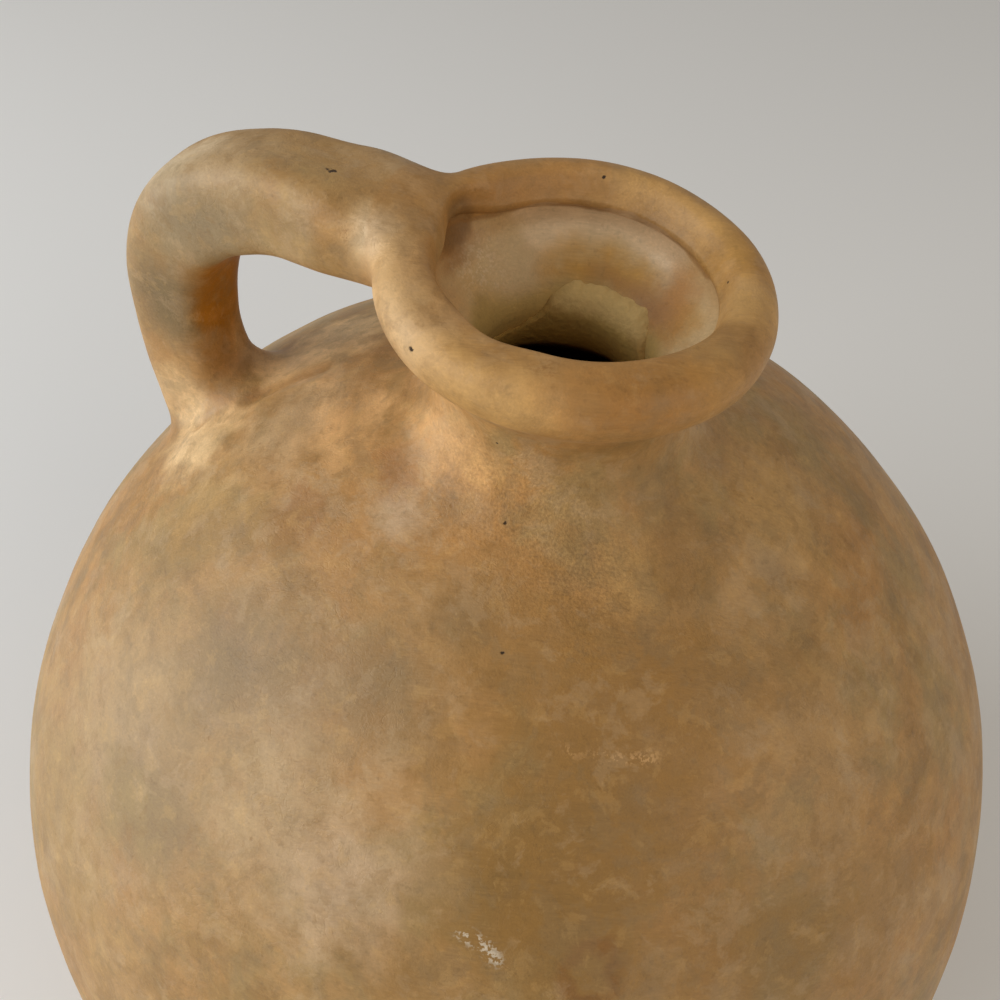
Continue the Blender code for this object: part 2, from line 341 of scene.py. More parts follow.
    @property
    def cup(self) -> tuple[Pair, ...]:
        """Controls of the cup's wall, from under the lip to the throat."""
        edge = self.cup_edge
        return (
            edge,
            (edge[0] + self.cup_undercut, edge[1] - self.cup_sweep),
            shift(self.throat, (0.0, 1.0), self.cup_sweep),
            self.throat,
        )

    @property
    def bell(self) -> tuple[Pair, ...]:
        """Controls of the bore below the throat, where it opens into the belly."""
        end = self.belly(self.crown_rise, self.opening_turn, self.wall)
        return (
            self.throat,
            shift(self.throat, (0.0, 1.0), -self.neck_sweep),
            shift(end, self.into_neck, self.neck_sweep),
            end,
        )


@dataclass(frozen=True)
class StrapForm:
    """Sizes of the pulled strap and of the wads of clay that hold its two ends."""

    run: float = 0.0040
    bend: float = 0.0310
    root_depth: float = 0.0177
    root_width: float = 0.0235
    crown: float = 0.0260
    crown_width: float = 0.0180
    crown_depth: float = 0.0173
    leg_width: float = 0.0160
    leg_depth: float = 0.0155
    squareness: float = 3.6
    root_length: float = 0.0100
    foot_rise: float = 0.0085
    foot_lean: float = 0.0022
    run_hem: float = 0.02
    leg_hem: float = 0.01
    sides: int = 96

    def section(self, half_width: float, half_depth: float) -> list[Pair]:
        """The strap's rounded-square section.

        Args:
            half_width: Half of its size across the strap.
            half_depth: Half of its size through the strap.

        Returns:
            (across, outward) pairs, once round.
        """
        pairs = []
        for side in range(self.sides):
            turn = math.tau * side / self.sides
            power = 2 / self.squareness
            across = math.copysign(abs(math.cos(turn)) ** power, math.cos(turn))
            outward = math.copysign(abs(math.sin(turn)) ** power, math.sin(turn))
            pairs.append((half_width * across, half_depth * outward))
        return pairs


@dataclass(frozen=True)
class StrapPath:
    """The rings of the strap from the rim, over its bend and down its leg."""

    jug: JugForm
    strap: StrapForm

    @property
    def level(self) -> float:
        """Length from the rim to the start of the bend."""
        return self.strap.root_length + self.strap.run

    @property
    def bend_start(self) -> float:
        """Distance from the jug's axis at which the bend starts."""
        return self.jug.rim_outside + self.level

    @property
    def reach(self) -> float:
        """Distance from the jug's axis to the middle of the leg."""
        return self.bend_start + self.strap.bend

    def girth(self, along: float) -> list[Pair]:
        """The strap's section at a length along it from the rim.

        Args:
            along: The length.

        Returns:
            (across, outward) pairs, once round.
        """
        strap = self.strap
        crown = float(ease(along, 0.0, strap.crown))
        fall = float(ease(along, strap.crown, self.level + strap.bend * math.pi / 2))
        depth = mix(mix(strap.root_depth, strap.crown_depth, crown), strap.leg_depth, fall)
        width = mix(mix(strap.root_width, strap.crown_width, crown), strap.leg_width, fall)
        return strap.section(width / 2, depth / 2)

    def run_ring(self, from_rim: float) -> Ring:
        """A ring of the level run. It follows the curve of the rim the nearer it is to it.

        Args:
            from_rim: How far the ring lies from the rim.

        Returns:
            The ring's points.
        """
        outside = self.jug.rim_outside
        hollow = 1.0 - float(ease(from_rim, 0.0, self.level))
        ring = []
        for across, outward in self.girth(from_rim):
            curve = (outside - math.sqrt(outside**2 - across**2)) * hollow
            ring.append((curve - outside - from_rim, across, self.jug.rim_height + outward))
        return ring

    def bend_ring(self, turn: float) -> Ring:
        """A ring of the bend, at a turn from the level run.

        Args:
            turn: The turn in radians.

        Returns:
            The ring's points.
        """
        ring = []
        for across, outward in self.girth(self.level + self.strap.bend * turn):
            radius = self.strap.bend + outward
            height = self.jug.rim_height - self.strap.bend + radius * math.cos(turn)
            ring.append((-self.bend_start - radius * math.sin(turn), across, height))
        return ring

    def leg_ring(self, share: float) -> Ring:
        """A ring of the leg, which leans in more and more from the bend to the foot.

        Args:
            share: 0 at the bend, 1 at the foot.

        Returns:
            The ring's points.
        """
        strap = self.strap
        section = strap.section(strap.leg_width / 2, strap.leg_depth / 2)
        top = self.bend_ring(math.pi / 2)
        ring = []
        for start, (across, outward) in zip(top, section):
            foot = self.on_shoulder(across, outward, strap.foot_rise)
            lean = strap.foot_lean * share**2
            ring.append((start[0] + lean, across, mix(start[2], foot[2], share)))
        return ring

    def on_shoulder(self, across: float, outward: float, rise: float) -> Place:
        """The place at a height over the shoulder, measured from the middle of the foot."""
        radius = self.reach - self.strap.foot_lean + outward
        return (-radius, across, self.jug.shoulder_height(math.hypot(radius, across)) + rise)

    def rings(self, run_steps: int, bend_steps: int, leg_steps: int) -> list[Ring]:
        """All the strap's rings between its two wads.

        Args:
            run_steps: Rings on the level run.
            bend_steps: Rings round the bend.
            leg_steps: Rings down the leg.

        Returns:
            The rings, from the rim's end to the foot.
        """
        start = self.strap.root_length
        shares = hemmed(run_steps, self.strap.run_hem)
        rings = [self.run_ring(mix(start, self.level, share)) for share in shares]
        rings += [self.bend_ring(turn) for turn in spread(0, math.pi / 2, bend_steps)[1:]]
        rings += [self.leg_ring(share) for share in hemmed(leg_steps, self.strap.leg_hem)[1:]]
        return rings


class Bench:
    """The operators that shape a lump of clay, each as it would be used by hand."""

    turn_steps: int = 320
    lump: float = 0.001
    coil: float = 0.01
    merge: float = 0.000004
    crease: float = math.radians(38)

    @staticmethod
    def start(name: str) -> bpy.types.Object:
        """Names the primitive that was just added and opens it for editing with all of it selected.

        Args:
            name: The piece's name.

        Returns:
            The piece, in edit mode.
        """
        piece = bpy.context.object
        piece.name = name
        piece.data.name = name
        bpy.ops.object.mode_set(mode="EDIT")
        bpy.ops.mesh.select_all(action="SELECT")
        return piece

    @staticmethod
    def only(piece: bpy.types.Object) -> None:
        """Selects one object alone and makes it the active one.

        Args:
            piece: The object.
        """
        bpy.ops.object.select_all(action="DESELECT")
        piece.select_set(True)
        bpy.context.view_layer.objects.active = piece

    @classmethod
    def throw(cls, name: str, profile: Sequence[Pair]) -> bpy.types.Object:
        """Throws a profile on the wheel: extrudes it point by point and spins it round the Z axis.

        Args:
            name: The piece's name.
            profile: (radius, height) points. A ring's section ends on its first point.

        Returns:
            The closed piece.
        """
        bpy.ops.object.select_all(action="DESELECT")
        bpy.ops.mesh.primitive_plane_add(size=cls.lump)
        piece = cls.start(name)
        bpy.ops.mesh.merge(type="CENTER")
        bpy.ops.transform.translate(value=(profile[0][0], 0.0, profile[0][1]))
        for before, after in zip(profile, profile[1:]):
            step = (after[0] - before[0], 0.0, after[1] - before[1])
            bpy.ops.mesh.extrude_vertices_move(TRANSFORM_OT_translate={"value": step})
        bpy.ops.mesh.select_all(action="SELECT")
        bpy.ops.mesh.spin(steps=cls.turn_steps, angle=math.tau, center=(0, 0, 0), axis=(0, 0, 1))
        cls.close()
        return piece

    @classmethod
    def pull(cls, name: str, rings: Sequence[Ring]) -> bpy.types.Object:
        """Pulls a strap of clay: extrudes a filled ring along and lays each new ring in its place.

        Args:
            name: The piece's name.
            rings: Rings with the same number of points each.

        Returns:
            The closed piece.
        """
        bpy.ops.object.select_all(action="DESELECT")
        bpy.ops.mesh.primitive_circle_add(vertices=len(rings[0]), radius=cls.coil, fill_type="NGON")
        piece = cls.start(name)
        for count, ring in enumerate(rings):
            if count:
                bpy.ops.mesh.extrude_region_move()
            shape = bmesh.from_edit_mesh(piece.data)
            chosen = [point for point in shape.verts if point.select]
            for point, place in zip(chosen, ring):
                point.co = place
            bmesh.update_edit_mesh(piece.data)
        cls.close()
        return piece

    @classmethod
    def close(cls) -> None:
        """Merges doubled points, turns all faces outwards and leaves edit mode."""
        bpy.ops.mesh.select_all(action="SELECT")
        bpy.ops.mesh.remove_doubles(threshold=cls.merge)
        bpy.ops.mesh.normals_make_consistent(inside=False)
        bpy.ops.object.mode_set(mode="OBJECT")

    @staticmethod
    def places(piece: bpy.types.Object) -> np.ndarray:
        """The piece's points, one row each.

        Args:
            piece: The piece.

        Returns:
            An array with three columns.
        """
        flat = np.empty(len(piece.data.vertices) * 3, np.float32)
        piece.data.vertices.foreach_get("co", flat)
        return flat.reshape(-1, 3).astype(np.float64)

    @staticmethod
    def put(piece: bpy.types.Object, places: np.ndarray) -> None:
        """Moves the piece's points to new places."""
        piece.data.vertices.foreach_set("co", places.astype(np.float32).ravel())
        piece.data.update()

    @classmethod
    def smooth(cls, piece: bpy.types.Object) -> None:
        """Shades a piece smooth, with its worked edges left crisp."""
        cls.only(piece)
        bpy.ops.object.shade_smooth_by_angle(angle=cls.crease)


@dataclass(frozen=True)
class Swell:
    """A place where the hand pushed the clay out or in, or a line along which a finger dragged it."""

    place: Place
    reach: float
    push: Place
    end: Place | None = None

    def share(self, places: np.ndarray) -> np.ndarray:
        """How much of the push each place feels, from 0 to 1.

        Args:
            places: Points, one row each.

        Returns:
            One share for each place.
        """
        start = np.array(self.place)
        along = np.array(self.end or self.place) - start
        length = float(along @ along)
        part = np.clip((places - start) @ along / length, 0.0, 1.0) if length else np.zeros(len(places))
        away = np.linalg.norm(places - start - part[:, None] * along, axis=1)
        return ease(away, self.reach, 0.0)


@dataclass(frozen=True)
class Unevenness:
    """One size of the slow swells that throwing and pulling leave in clay."""

    name: str
    size: float
    depth: float


@dataclass(frozen=True)
class HandWork:
    """What the hand leaves on a turned form: a tilted lip, pushed places and uneven walls.

    The same moves act on all pieces by place alone, so that their joins stay shut.
    """

    tilt: float = 0.030
    tilt_heading: float = math.radians(35)
    tilt_start: float = 0.212
    tilt_full: float = 0.236
    tilt_reach: float = 0.036
    tilt_end: float = 0.056
    steady_below: float = 0.004
    uneven_above: float = 0.050
    swells: tuple[Swell, ...] = (
        Swell((-0.0840, 0.0, 0.2250), 0.020, (-0.0008, 0.0, 0.0)),
        Swell((-0.0727, 0.0, 0.2376), 0.022, (-0.0012, 0.0, 0.0012)),
        Swell((-0.0680, 0.0060, 0.2140), 0.017, (0.0016, 0.0, 0.0)),
        Swell((-0.0212, 0.0055, 0.2415), 0.0085, (-0.0025, 0.0009, 0.0012)),
        Swell((-0.0420, 0.0030, 0.2500), 0.0160, (0.0, 0.0, -0.0017)),
        Swell((-0.0400, 0.0075, 0.2490), 0.0110, (0.0, 0.0, -0.0006)),
        Swell((-0.0060, -0.0225, 0.2455), 0.0090, (0.0, -0.0005, -0.0005)),
        Swell((0.0720, 0.0050, 0.1860), 0.0500, (-0.0010, 0.0, -0.0006)),
        Swell((-0.0652, -0.0164, 0.1894), 0.0100, (-0.0003, -0.0003, 0.0005)),
        Swell((-0.0590, -0.0067, 0.1951), 0.0024, (0.0004, 0.0, -0.0007), (-0.0461, 0.0003, 0.2028)),
        Swell((-0.0560, -0.0100, 0.1975), 0.0026, (-0.0003, 0.0, 0.0006), (-0.0440, -0.0040, 0.2035)),
        Swell((-0.0690, -0.0116, 0.1887), 0.0024, (0.0004, 0.0, -0.0006), (-0.0585, -0.0039, 0.1956)),
    )
    unevenness: tuple[Unevenness, ...] = (
        Unevenness("slow_swell", 0.060, 0.0016),
        Unevenness("finger_swell", 0.018, 0.0005),
    )

    def lean(self, places: np.ndarray) -> np.ndarray:
        """The points with the lip tilted, its handle side up.

        Args:
            places: Points, one row each.

        Returns:
            The moved points.
        """
        ahead = places[:, 0] * math.cos(self.tilt_heading) + places[:, 1] * math.sin(self.tilt_heading)
        radius = np.hypot(places[:, 0], places[:, 1])
        share = ease(places[:, 2], self.tilt_start, self.tilt_full)
        share = share * ease(radius, self.tilt_end, self.tilt_reach)
        moved = places.copy()
        moved[:, 2] -= self.tilt * ahead * share
        return moved

    def press(self, places: np.ndarray) -> np.ndarray:
        """The points with each swell pushed out and each drag pressed in.

        Args:
            places: Points, one row each.

        Returns:
            The moved points.
        """
        moved = places.copy()
        for swell in self.swells:
            moved += swell.share(places)[:, None] * np.array(swell.push)
        return moved

    def work(self, piece: bpy.types.Object) -> None:
        """Leaves all the marks of the hand on a piece, and shades it.

        Args:
            piece: The piece, as turned or pulled.
        """
        places = self.press(self.lean(Bench.places(piece)))
        Bench.put(piece, places)
        Bench.only(piece)
        for uneven in self.unevenness:
            cloud = bpy.data.textures.get(uneven.name) or bpy.data.textures.new(uneven.name, "CLOUDS")
            cloud.cloud_type = "COLOR"
            cloud.noise_scale = uneven.size
            cloud.noise_depth = 1
            modifier = piece.modifiers.new(uneven.name, "DISPLACE")
            modifier.texture = cloud
            modifier.texture_coords = "LOCAL"
            modifier.direction = "RGB_TO_XYZ"
            modifier.strength = uneven.depth
            bpy.ops.object.modifier_apply(modifier=modifier.name)
        shares = ease(places[:, 2], self.steady_below, self.uneven_above)
        Bench.put(piece, places + shares[:, None] * (Bench.places(piece) - places))
        Bench.smooth(piece)


Value = Union[float, "Wire"]
Input = Union[float, Sequence[float], "Wire"]


@dataclass(frozen=True)
class Wire:
    """What flows out of a socket. Arithmetic on it adds Math nodes."""

    board: "Board"
    socket: bpy.types.NodeSocket

    def __add__(self, other: Value) -> "Wire":
        """The sum of both."""
        return self.board.math("ADD", self, other)

    __radd__ = __add__

    def __sub__(self, other: Value) -> "Wire":
        """This less the other."""
        return self.board.math("SUBTRACT", self, other)

    def __rsub__(self, other: Value) -> "Wire":
        """The other less this."""
        return self.board.math("SUBTRACT", other, self)

    def __mul__(self, other: Value) -> "Wire":
        """The product of both."""
        return self.board.math("MULTIPLY", self, other)

    __rmul__ = __mul__

    def ramp(self, low: float, high: float) -> "Wire":
        """A smooth rise from 0 at low to 1 at high. It falls where high is below low.

        Args:
            low: Where the rise starts.
            high: Where it ends.

        Returns:
            A share from 0 to 1.
        """
        settings = {"interpolation_type": "SMOOTHSTEP", "clamp": True}
        if high < low:
            inputs = {"Value": self, "From Min": high, "From Max": low, "To Min": 1.0, "To Max": 0.0}
        else:
            inputs = {"Value": self, "From Min": low, "From Max": high}
        return self.board.node("ShaderNodeMapRange", settings, inputs)


class Board:
    """The node tree of one material, and the few ways in which its nodes are added."""

    def __init__(self, name: str) -> None:
        """Makes the material with only its output and its Principled shader.

        Args:
            name: The material's name.
        """
        self.material = bpy.data.materials.new(name)
        self.material.use_nodes = True
        self.tree = self.material.node_tree
        self.shader = self.tree.nodes["Principled BSDF"]

    def node(
        self,
        kind: str,
        settings: Mapping[str, object],
        inputs: Mapping[Union[str, int], Input],
        output: Union[str, int] = 0,
    ) -> Wire:
        """Adds a node.

        Args:
            kind: The node's type.
            settings: Its own settings, set first.
            inputs: Values or wires by the name or number of the socket.
            output: The socket that is wanted from it.

        Returns:
            What flows out of that socket.
        """
        made = self.tree.nodes.new(kind)
        for name, value in settings.items():
            setattr(made, name, value)
        for name, value in inputs.items():
            self.feed(made.inputs[name], value)
        return Wire(self, made.outputs[output])

    def feed(self, socket: bpy.types.NodeSocket, value: Input) -> None:
        """Links a wire to a socket, or sets a plain value on it.

        Args:
            socket: The socket.
            value: A wire, a number, a colour or a vector.
        """
        if isinstance(value, Wire):
            self.tree.links.new(value.socket, socket)
        elif isinstance(value, (int, float)):
            socket.default_value = value
        elif len(socket.default_value) == 4:
            socket.default_value = (*value, 1.0)
        else:
            socket.default_value = tuple(value)

    def math(self, operation: str, *values: Value) -> Wire:
        """A Math node on plain values."""
        return self.node("ShaderNodeMath", {"operation": operation}, dict(enumerate(values)))

    def vector(self, operation: str, *values: Input) -> Wire:
        """Adds a Vector Math node.

        Args:
            operation: What the node does.
            values: Vectors, for its sockets in order.

        Returns:
            A vector, or a value for a length, a distance or a dot product.
        """
        output = "Value" if operation in ("LENGTH", "DISTANCE", "DOT_PRODUCT") else "Vector"
        settings = {"operation": operation}
        return self.node("ShaderNodeVectorMath", settings, dict(enumerate(values)), output)

    def place(self) -> Wire:
        """Where a point lies on the object."""
        return self.node("ShaderNodeTexCoord", {}, {}, "Object")

    def parts(self, vector: Wire) -> tuple[Wire, Wire, Wire]:
        """The three parts of a vector."""
        split = self.node("ShaderNodeSeparateXYZ", {}, {0: vector}).socket.node
        return (Wire(self, split.outputs[0]), Wire(self, split.outputs[1]), Wire(self, split.outputs[2]))

    def scale(self, vector: Input, factor: Wire) -> Wire:
        """A vector made longer or shorter, or a colour lighter or darker, by a factor."""
        inputs = {0: vector, "Scale": factor}
        return self.node("ShaderNodeVectorMath", {"operation": "SCALE"}, inputs, "Vector")

    def colour(self, share: Value, first: Input, second: Input) -> Wire:
        """A mix of two colours."""
        inputs = {0: share, 6: first, 7: second}
        return self.node("ShaderNodeMix", {"data_type": "RGBA"}, inputs, 2)

    def noise(
        self,
        at: Wire,
        size: float,
        detail: float,
        rough: float,
        twist: float = 0.0,
        output: str = "Fac",
    ) -> Wire:
        """Cloudy noise.

        Args:
            at: Where it is read.
            size: Size of its clouds.
            detail: Octaves of finer clouds in them.
            rough: Weight of the finer clouds.
            twist: How much the clouds are wrung.
            output: "Fac" for a value, "Color" for three.

        Returns:
            Noise about one half.
        """
        inputs = {
            "Vector": at,
            "Scale": 1.0 / size,
            "Detail": detail,
            "Roughness": rough,
            "Distortion": twist,
        }
        return self.node("ShaderNodeTexNoise", {}, inputs, output)


class Edge(Enum):
    """How a patch of stain or painted light lies on the clay: how far blots tear its edge, and how much
    of its reach is full.
    """

    SOFT = ("soft", 1.1, 0.0)
    CRISP = ("crisp", 0.6, 0.50)
    RAGGED = ("ragged", 2.2, 0.35)
    FLECKED = ("flecked", 0.0, 0.0)
    RING = ("ring", 1.1, 0.0)

    def __init__(self, label: str, torn: float, full: float) -> None:
        """Keeps the edge's two shares.

        Args:
            label: What the edge is called, which tells edges with the same shares apart. It is not used
                here.
            torn: How far blots tear it, as a share of the patch's reach.
            full: How much of the reach has the patch's full strength.
        """
        self.torn = torn
        self.full = full


# Where a ring's clear middle ends and the ring is full, as shares of the patch's reach, and its weight.
RING_HOLE: Pair = (0.25, 0.60)
RING_WEIGHT: float = 1.6


@dataclass(frozen=True)
class StainOrPaintedLight:
    """A patch of another colour at one place on the clay: mostly a real stain, and painted light or
    shade where a comment says so.
    """

    place: Place
    reach: float
    tone: Colour
    strength: float
    edge: Edge = Edge.SOFT
    end: Place | None = None

    def share(self, board: Board, at: Wire, grain: "Grain") -> Wire:
        """How much of the patch lies at a point.

        Args:
            board: The material's nodes.
            at: The point, wrung a little for an uneven outline.
            grain: The clay's fine pattern.

        Returns:
            A share from 0 to the patch's strength.
        """
        away = board.vector("LENGTH", self.offset(board, at))
        away = away - (grain.blots - 0.5) * self.reach * self.edge.torn
        share = away.ramp(self.reach, self.reach * self.edge.full) * self.strength
        if self.edge is Edge.FLECKED:
            return share * grain.crumbs
        if self.edge is Edge.RING:
            return share * away.ramp(self.reach * RING_HOLE[0], self.reach * RING_HOLE[1]) * RING_WEIGHT
        return share

    def offset(self, board: Board, at: Wire) -> Wire:
        """The way to a point from the patch's place, or from the nearest point of its line.

        Args:
            board: The material's nodes.
            at: The point.

        Returns:
            A vector.
        """
        away = board.vector("SUBTRACT", at, self.place)
        if self.end is None:
            return away
        along = Vector(self.end) - Vector(self.place)
        part = board.vector("DOT_PRODUCT", away, tuple(along / along.length_squared))
        part = board.math("MINIMUM", board.math("MAXIMUM", part, 0.0), 1.0)
        return board.vector("SUBTRACT", away, board.scale(tuple(along), part))


@dataclass(frozen=True)
class Pit:
    """A small hole where a grain of grit fell out."""

    place: Place
    radius: float
    broken: float = 1.6
    full: float = 0.45

    def share(self, board: Board, at: Wire, grain: "Grain") -> Wire:
        """How deep in the hole a point lies. Its edge is broken."""
        away = board.vector("DISTANCE", at, self.place) + (grain.dust - 0.5) * self.radius * self.broken
        return away.ramp(self.radius, self.radius * self.full)


@dataclass(frozen=True)
class Clouds:
    """Cloudy noise of one size. It may be moved, so that no two of a size match."""

    size: float
    detail: float
    rough: float = 0.55
    twist: float = 0.0
    moved: Place | None = None

    def lay(self, board: Board, at: Wire, output: str = "Fac") -> Wire:
        """The noise at a point: a value about one half, or three of them for "Color"."""
        spot = board.vector("ADD", at, self.moved) if self.moved else at
        return board.noise(spot, self.size, self.detail, self.rough, self.twist, output)


@dataclass(frozen=True)
class Strokes:
    """Fine strokes of the burnishing pebble along one heading."""

    turn: Place
    length: float
    width: float
    fibres: Clouds = Clouds(1.0, 2.0, 0.6)

    def lay(self, board: Board, at: Wire) -> Wire:
        """Adds the strokes.

        Args:
            board: The material's nodes.
            at: Where they are read.

        Returns:
            Noise about one half.
        """
        mapping = {"Vector": at, "Rotation": self.turn, "Scale": (self.length, self.width, self.width)}
        laid = board.node("ShaderNodeMapping", {"vector_type": "TEXTURE"}, mapping)
        return self.fibres.lay(board, laid)


@dataclass(frozen=True)
class WheelLines:
    """Lines that the wheel leaves: fine across, long round the axis."""

    width: float
    length: float
    radius: float = 0.03
    detail: float = 2.0
    rough: float = 0.6

    def lay(self, board: Board, at: Wire) -> Wire:
        """Adds the lines.

        Args:
            board: The material's nodes.
            at: Where they are read.

        Returns:
            Noise about one half.
        """
        x, y, z = board.parts(at)
        flat = board.node("ShaderNodeCombineXYZ", {}, {0: x, 1: y})
        round_x, round_y, _ = board.parts(board.vector("NORMALIZE", flat))
        stretch, fine = self.radius / self.length, 1.0 / self.width
        across = board.vector("LENGTH", flat) * fine
        place = {0: round_x * stretch, 1: round_y * stretch, 2: across}
        inputs = {
            "Vector": board.node("ShaderNodeCombineXYZ", {}, place),
            "W": z * fine,
            "Scale": 1.0,
            "Detail": self.detail,
            "Roughness": self.rough,
        }
        return board.node("ShaderNodeTexNoise", {"noise_dimensions": "4D"}, inputs)


@dataclass(frozen=True)
class Grain:
    """The fine pattern of the clay at several sizes, shared by its colour and its relief."""

    blots: Wire
    flecks: Wire
    dust: Wire
    crumbs: Wire
    strokes: Wire
    turning: Wire
    specks: Wire
    marks: Wire


@dataclass(frozen=True)
class GrainForm:
    """Sizes of the fine pattern, from blots down to dust, with its strokes, specks and folds."""

    blots: Clouds = Clouds(0.0060, 4.0)
    flecks: Clouds = Clouds(0.0013, 2.0, 0.6)
    dust: Clouds = Clouds(0.0005, 2.0, 0.6)
    crumb_mix: Pair = (0.55, 0.45)
    crumb_range: Pair = (0.50, 0.57)
    level: Strokes = Strokes((0.0, 0.0, 0.35), 0.0036, 0.00036)
    steep: Strokes = Strokes((0.0, -0.75, -0.9), 0.0030, 0.00034)
    heading: Clouds = Clouds(0.011, 1.0, moved=(0.13, 0.37, 0.71))
    heading_range: Pair = (0.42, 0.58)
    turning: WheelLines = WheelLines(0.0011, 0.014)
    speck_spacing: float = 0.0075
    speck_range: Pair = (0.055, 0.030)
    speck_choice: Pair = (0.52, 0.60)
    folds: Clouds = Clouds(0.0042, 2.0, 0.5, 1.5)
    fold_range: Pair = (0.024, 0.004)
    folded: Clouds = Clouds(0.013, 1.0, moved=(0.57, 0.29, 0.83))
    folded_range: Pair = (0.46, 0.58)

    def strokes(self, board: Board, at: Wire) -> Wire:
        """Strokes that run level in one place and steep in another.

        Args:
            board: The material's nodes.
            at: Where they are read.

        Returns:
            Noise about one half.
        """
        choice = self.heading.lay(board, at).ramp(*self.heading_range)
        inputs = {0: choice, 2: self.level.lay(board, at), 3: self.steep.lay(board, at)}
        return board.node("ShaderNodeMix", {"data_type": "FLOAT"}, inputs)

    def specks(self, board: Board, at: Wire) -> Wire:
        """Dark specks, in some of the cells only.

        Args:
            board: The material's nodes.
            at: Where they are read.

        Returns:
            A share from 0 to 1.
        """
        cells = {"Vector": at, "Scale": 1.0 / self.speck_spacing, "Randomness": 1.0}
        dots = board.node("ShaderNodeTexVoronoi", {}, cells, "Distance").ramp(*self.speck_range)
        kind = board.node("ShaderNodeTexVoronoi", {}, cells, "Color")
        return dots * board.parts(kind)[0].ramp(*self.speck_choice)

    def marks(self, board: Board, at: Wire) -> Wire:
        """Fine folds, in some places only."""
        folds = board.math("ABSOLUTE", self.folds.lay(board, at) - 0.5)
        return folds.ramp(*self.fold_range) * self.folded.lay(board, at).ramp(*self.folded_range)

    def lay(self, board: Board, at: Wire) -> Grain:
        """Adds the nodes of the pattern.

        Args:
            board: The material's nodes.
            at: Where the pattern is read.

        Returns:
            The pattern's wires.
        """
        flecks = self.flecks.lay(board, at)
        dust = self.dust.lay(board, at)
        crumbs = flecks * self.crumb_mix[0] + dust * self.crumb_mix[1]
        return Grain(
            blots=self.blots.lay(board, at),
            flecks=flecks,
            dust=dust,
            crumbs=crumbs.ramp(*self.crumb_range),
            strokes=self.strokes(board, at),
            turning=self.turning.lay(board, at),
            specks=self.specks(board, at),
            marks=self.marks(board, at),
        )


@dataclass(frozen=True)
class Tint:
    """A colour that comes in as a level runs from its start to where it is full."""

    tone: Colour
    start: float
    full: float
    weight: float = 1.0

    def over(self, board: Board, level: Wire, below: Input) -> Wire:
        """The colour laid over the one below it."""
        return board.colour(level.ramp(self.start, self.full) * self.weight, below, self.tone)


@dataclass(frozen=True)
class CloudLayer:
    """Clouds of one size, and the colours that they bring in where they are thick or thin."""

    clouds: Clouds
    tints: tuple[Tint, ...]

    def over(self, board: Board, at: Wire, tone: Input) -> Input:
        """The tone with these clouds in it.

        Args:
            board: The material's nodes.
            at: Where the clouds are read.
            tone: The colour below them.

        Returns:
            The new tone.
        """
        level = self.clouds.lay(board, at)
        for tint in self.tints:
            tone = tint.over(board, level, tone)
        return tone


@dataclass(frozen=True)
class Mouth:
    """Where the cup's wall, the bore below it and the lip above it lie, by radius and height."""

    bore_radius: float = 0.0185
    bore_height: float = 0.223
    bore_top: Pair = (0.2250, 0.2190)
    bore_end: Pair = (0.190, 0.200)
    cup_slope: float = 0.48
    cup_foot: Pair = (0.2205, 0.2215)
    cup_top: Pair = (0.2400, 0.2395)
    cup_feather: float = 0.0004
    lip_inside: float = 0.0205
    lip_outside: float = 0.0330
    lip_foot: Pair = (0.2340, 0.2370)
    feather: float = 0.0005

    def cup(self, radius: Wire, height: Wire) -> Wire:
        """How much a point belongs to the cup's wall.

        Args:
            radius: The point's distance from the axis.
            height: Its height.

        Returns:
            A share from 0 to 1.
        """
        within = (height - self.bore_height) * self.cup_slope + self.bore_radius - radius
        share = within.ramp(-self.cup_feather, self.cup_feather)
        return share * height.ramp(*self.cup_foot) * height.ramp(*self.cup_top)

    def bore(self, radius: Wire, height: Wire) -> Wire:
        """How much a point belongs to the bore."""
        share = (self.bore_radius - radius).ramp(-self.feather, self.feather)
        return share * height.ramp(*self.bore_top) * height.ramp(*self.bore_end)

    def lip(self, radius: Wire, height: Wire) -> Wire:
        """How much a point belongs to the lip.

        Args:
            radius: The point's distance from the axis.
            height: Its height.

        Returns:
            A share from 0 to 1.
        """
        share = (radius - self.lip_inside).ramp(-self.feather, self.feather)
        share = share * (self.lip_outside - radius).ramp(0.0, 2 * self.feather)
        return share * height.ramp(*self.lip_foot)


TAN: Colour = (0.428, 0.246, 0.090)
HONEY: Colour = (0.440, 0.212, 0.056)
AMBER: Colour = (0.365, 0.140, 0.002)
RUST: Colour = (0.310, 0.145, 0.042)
KHAKI: Colour = (0.345, 0.230, 0.090)
BEIGE: Colour = (0.490, 0.330, 0.175)
BLUSH: Colour = (0.540, 0.375, 0.235)
BROWN: Colour = (0.270, 0.140, 0.031)
GREY: Colour = (0.262, 0.170, 0.076)
STONE: Colour = (0.285, 0.215, 0.120)
MOSS: Colour = (0.210, 0.140, 0.054)
DUN: Colour = (0.440, 0.292, 0.082)
PALE: Colour = (0.800, 0.610, 0.390)
SAND: Colour = (0.600, 0.362, 0.128)
GOLD: Colour = (0.530, 0.290, 0.062)
CREAM: Colour = (0.760, 0.520, 0.262)
PEACH: Colour = (0.680, 0.385, 0.155)
UMBER: Colour = (0.220, 0.095, 0.022)
CHALK: Colour = (0.720, 0.620, 0.480)
# Near-black for painted shade: the cup's shadowed corner and the pits' holes.
SHADE_BLACK: Colour = (0.045, 0.026, 0.013)


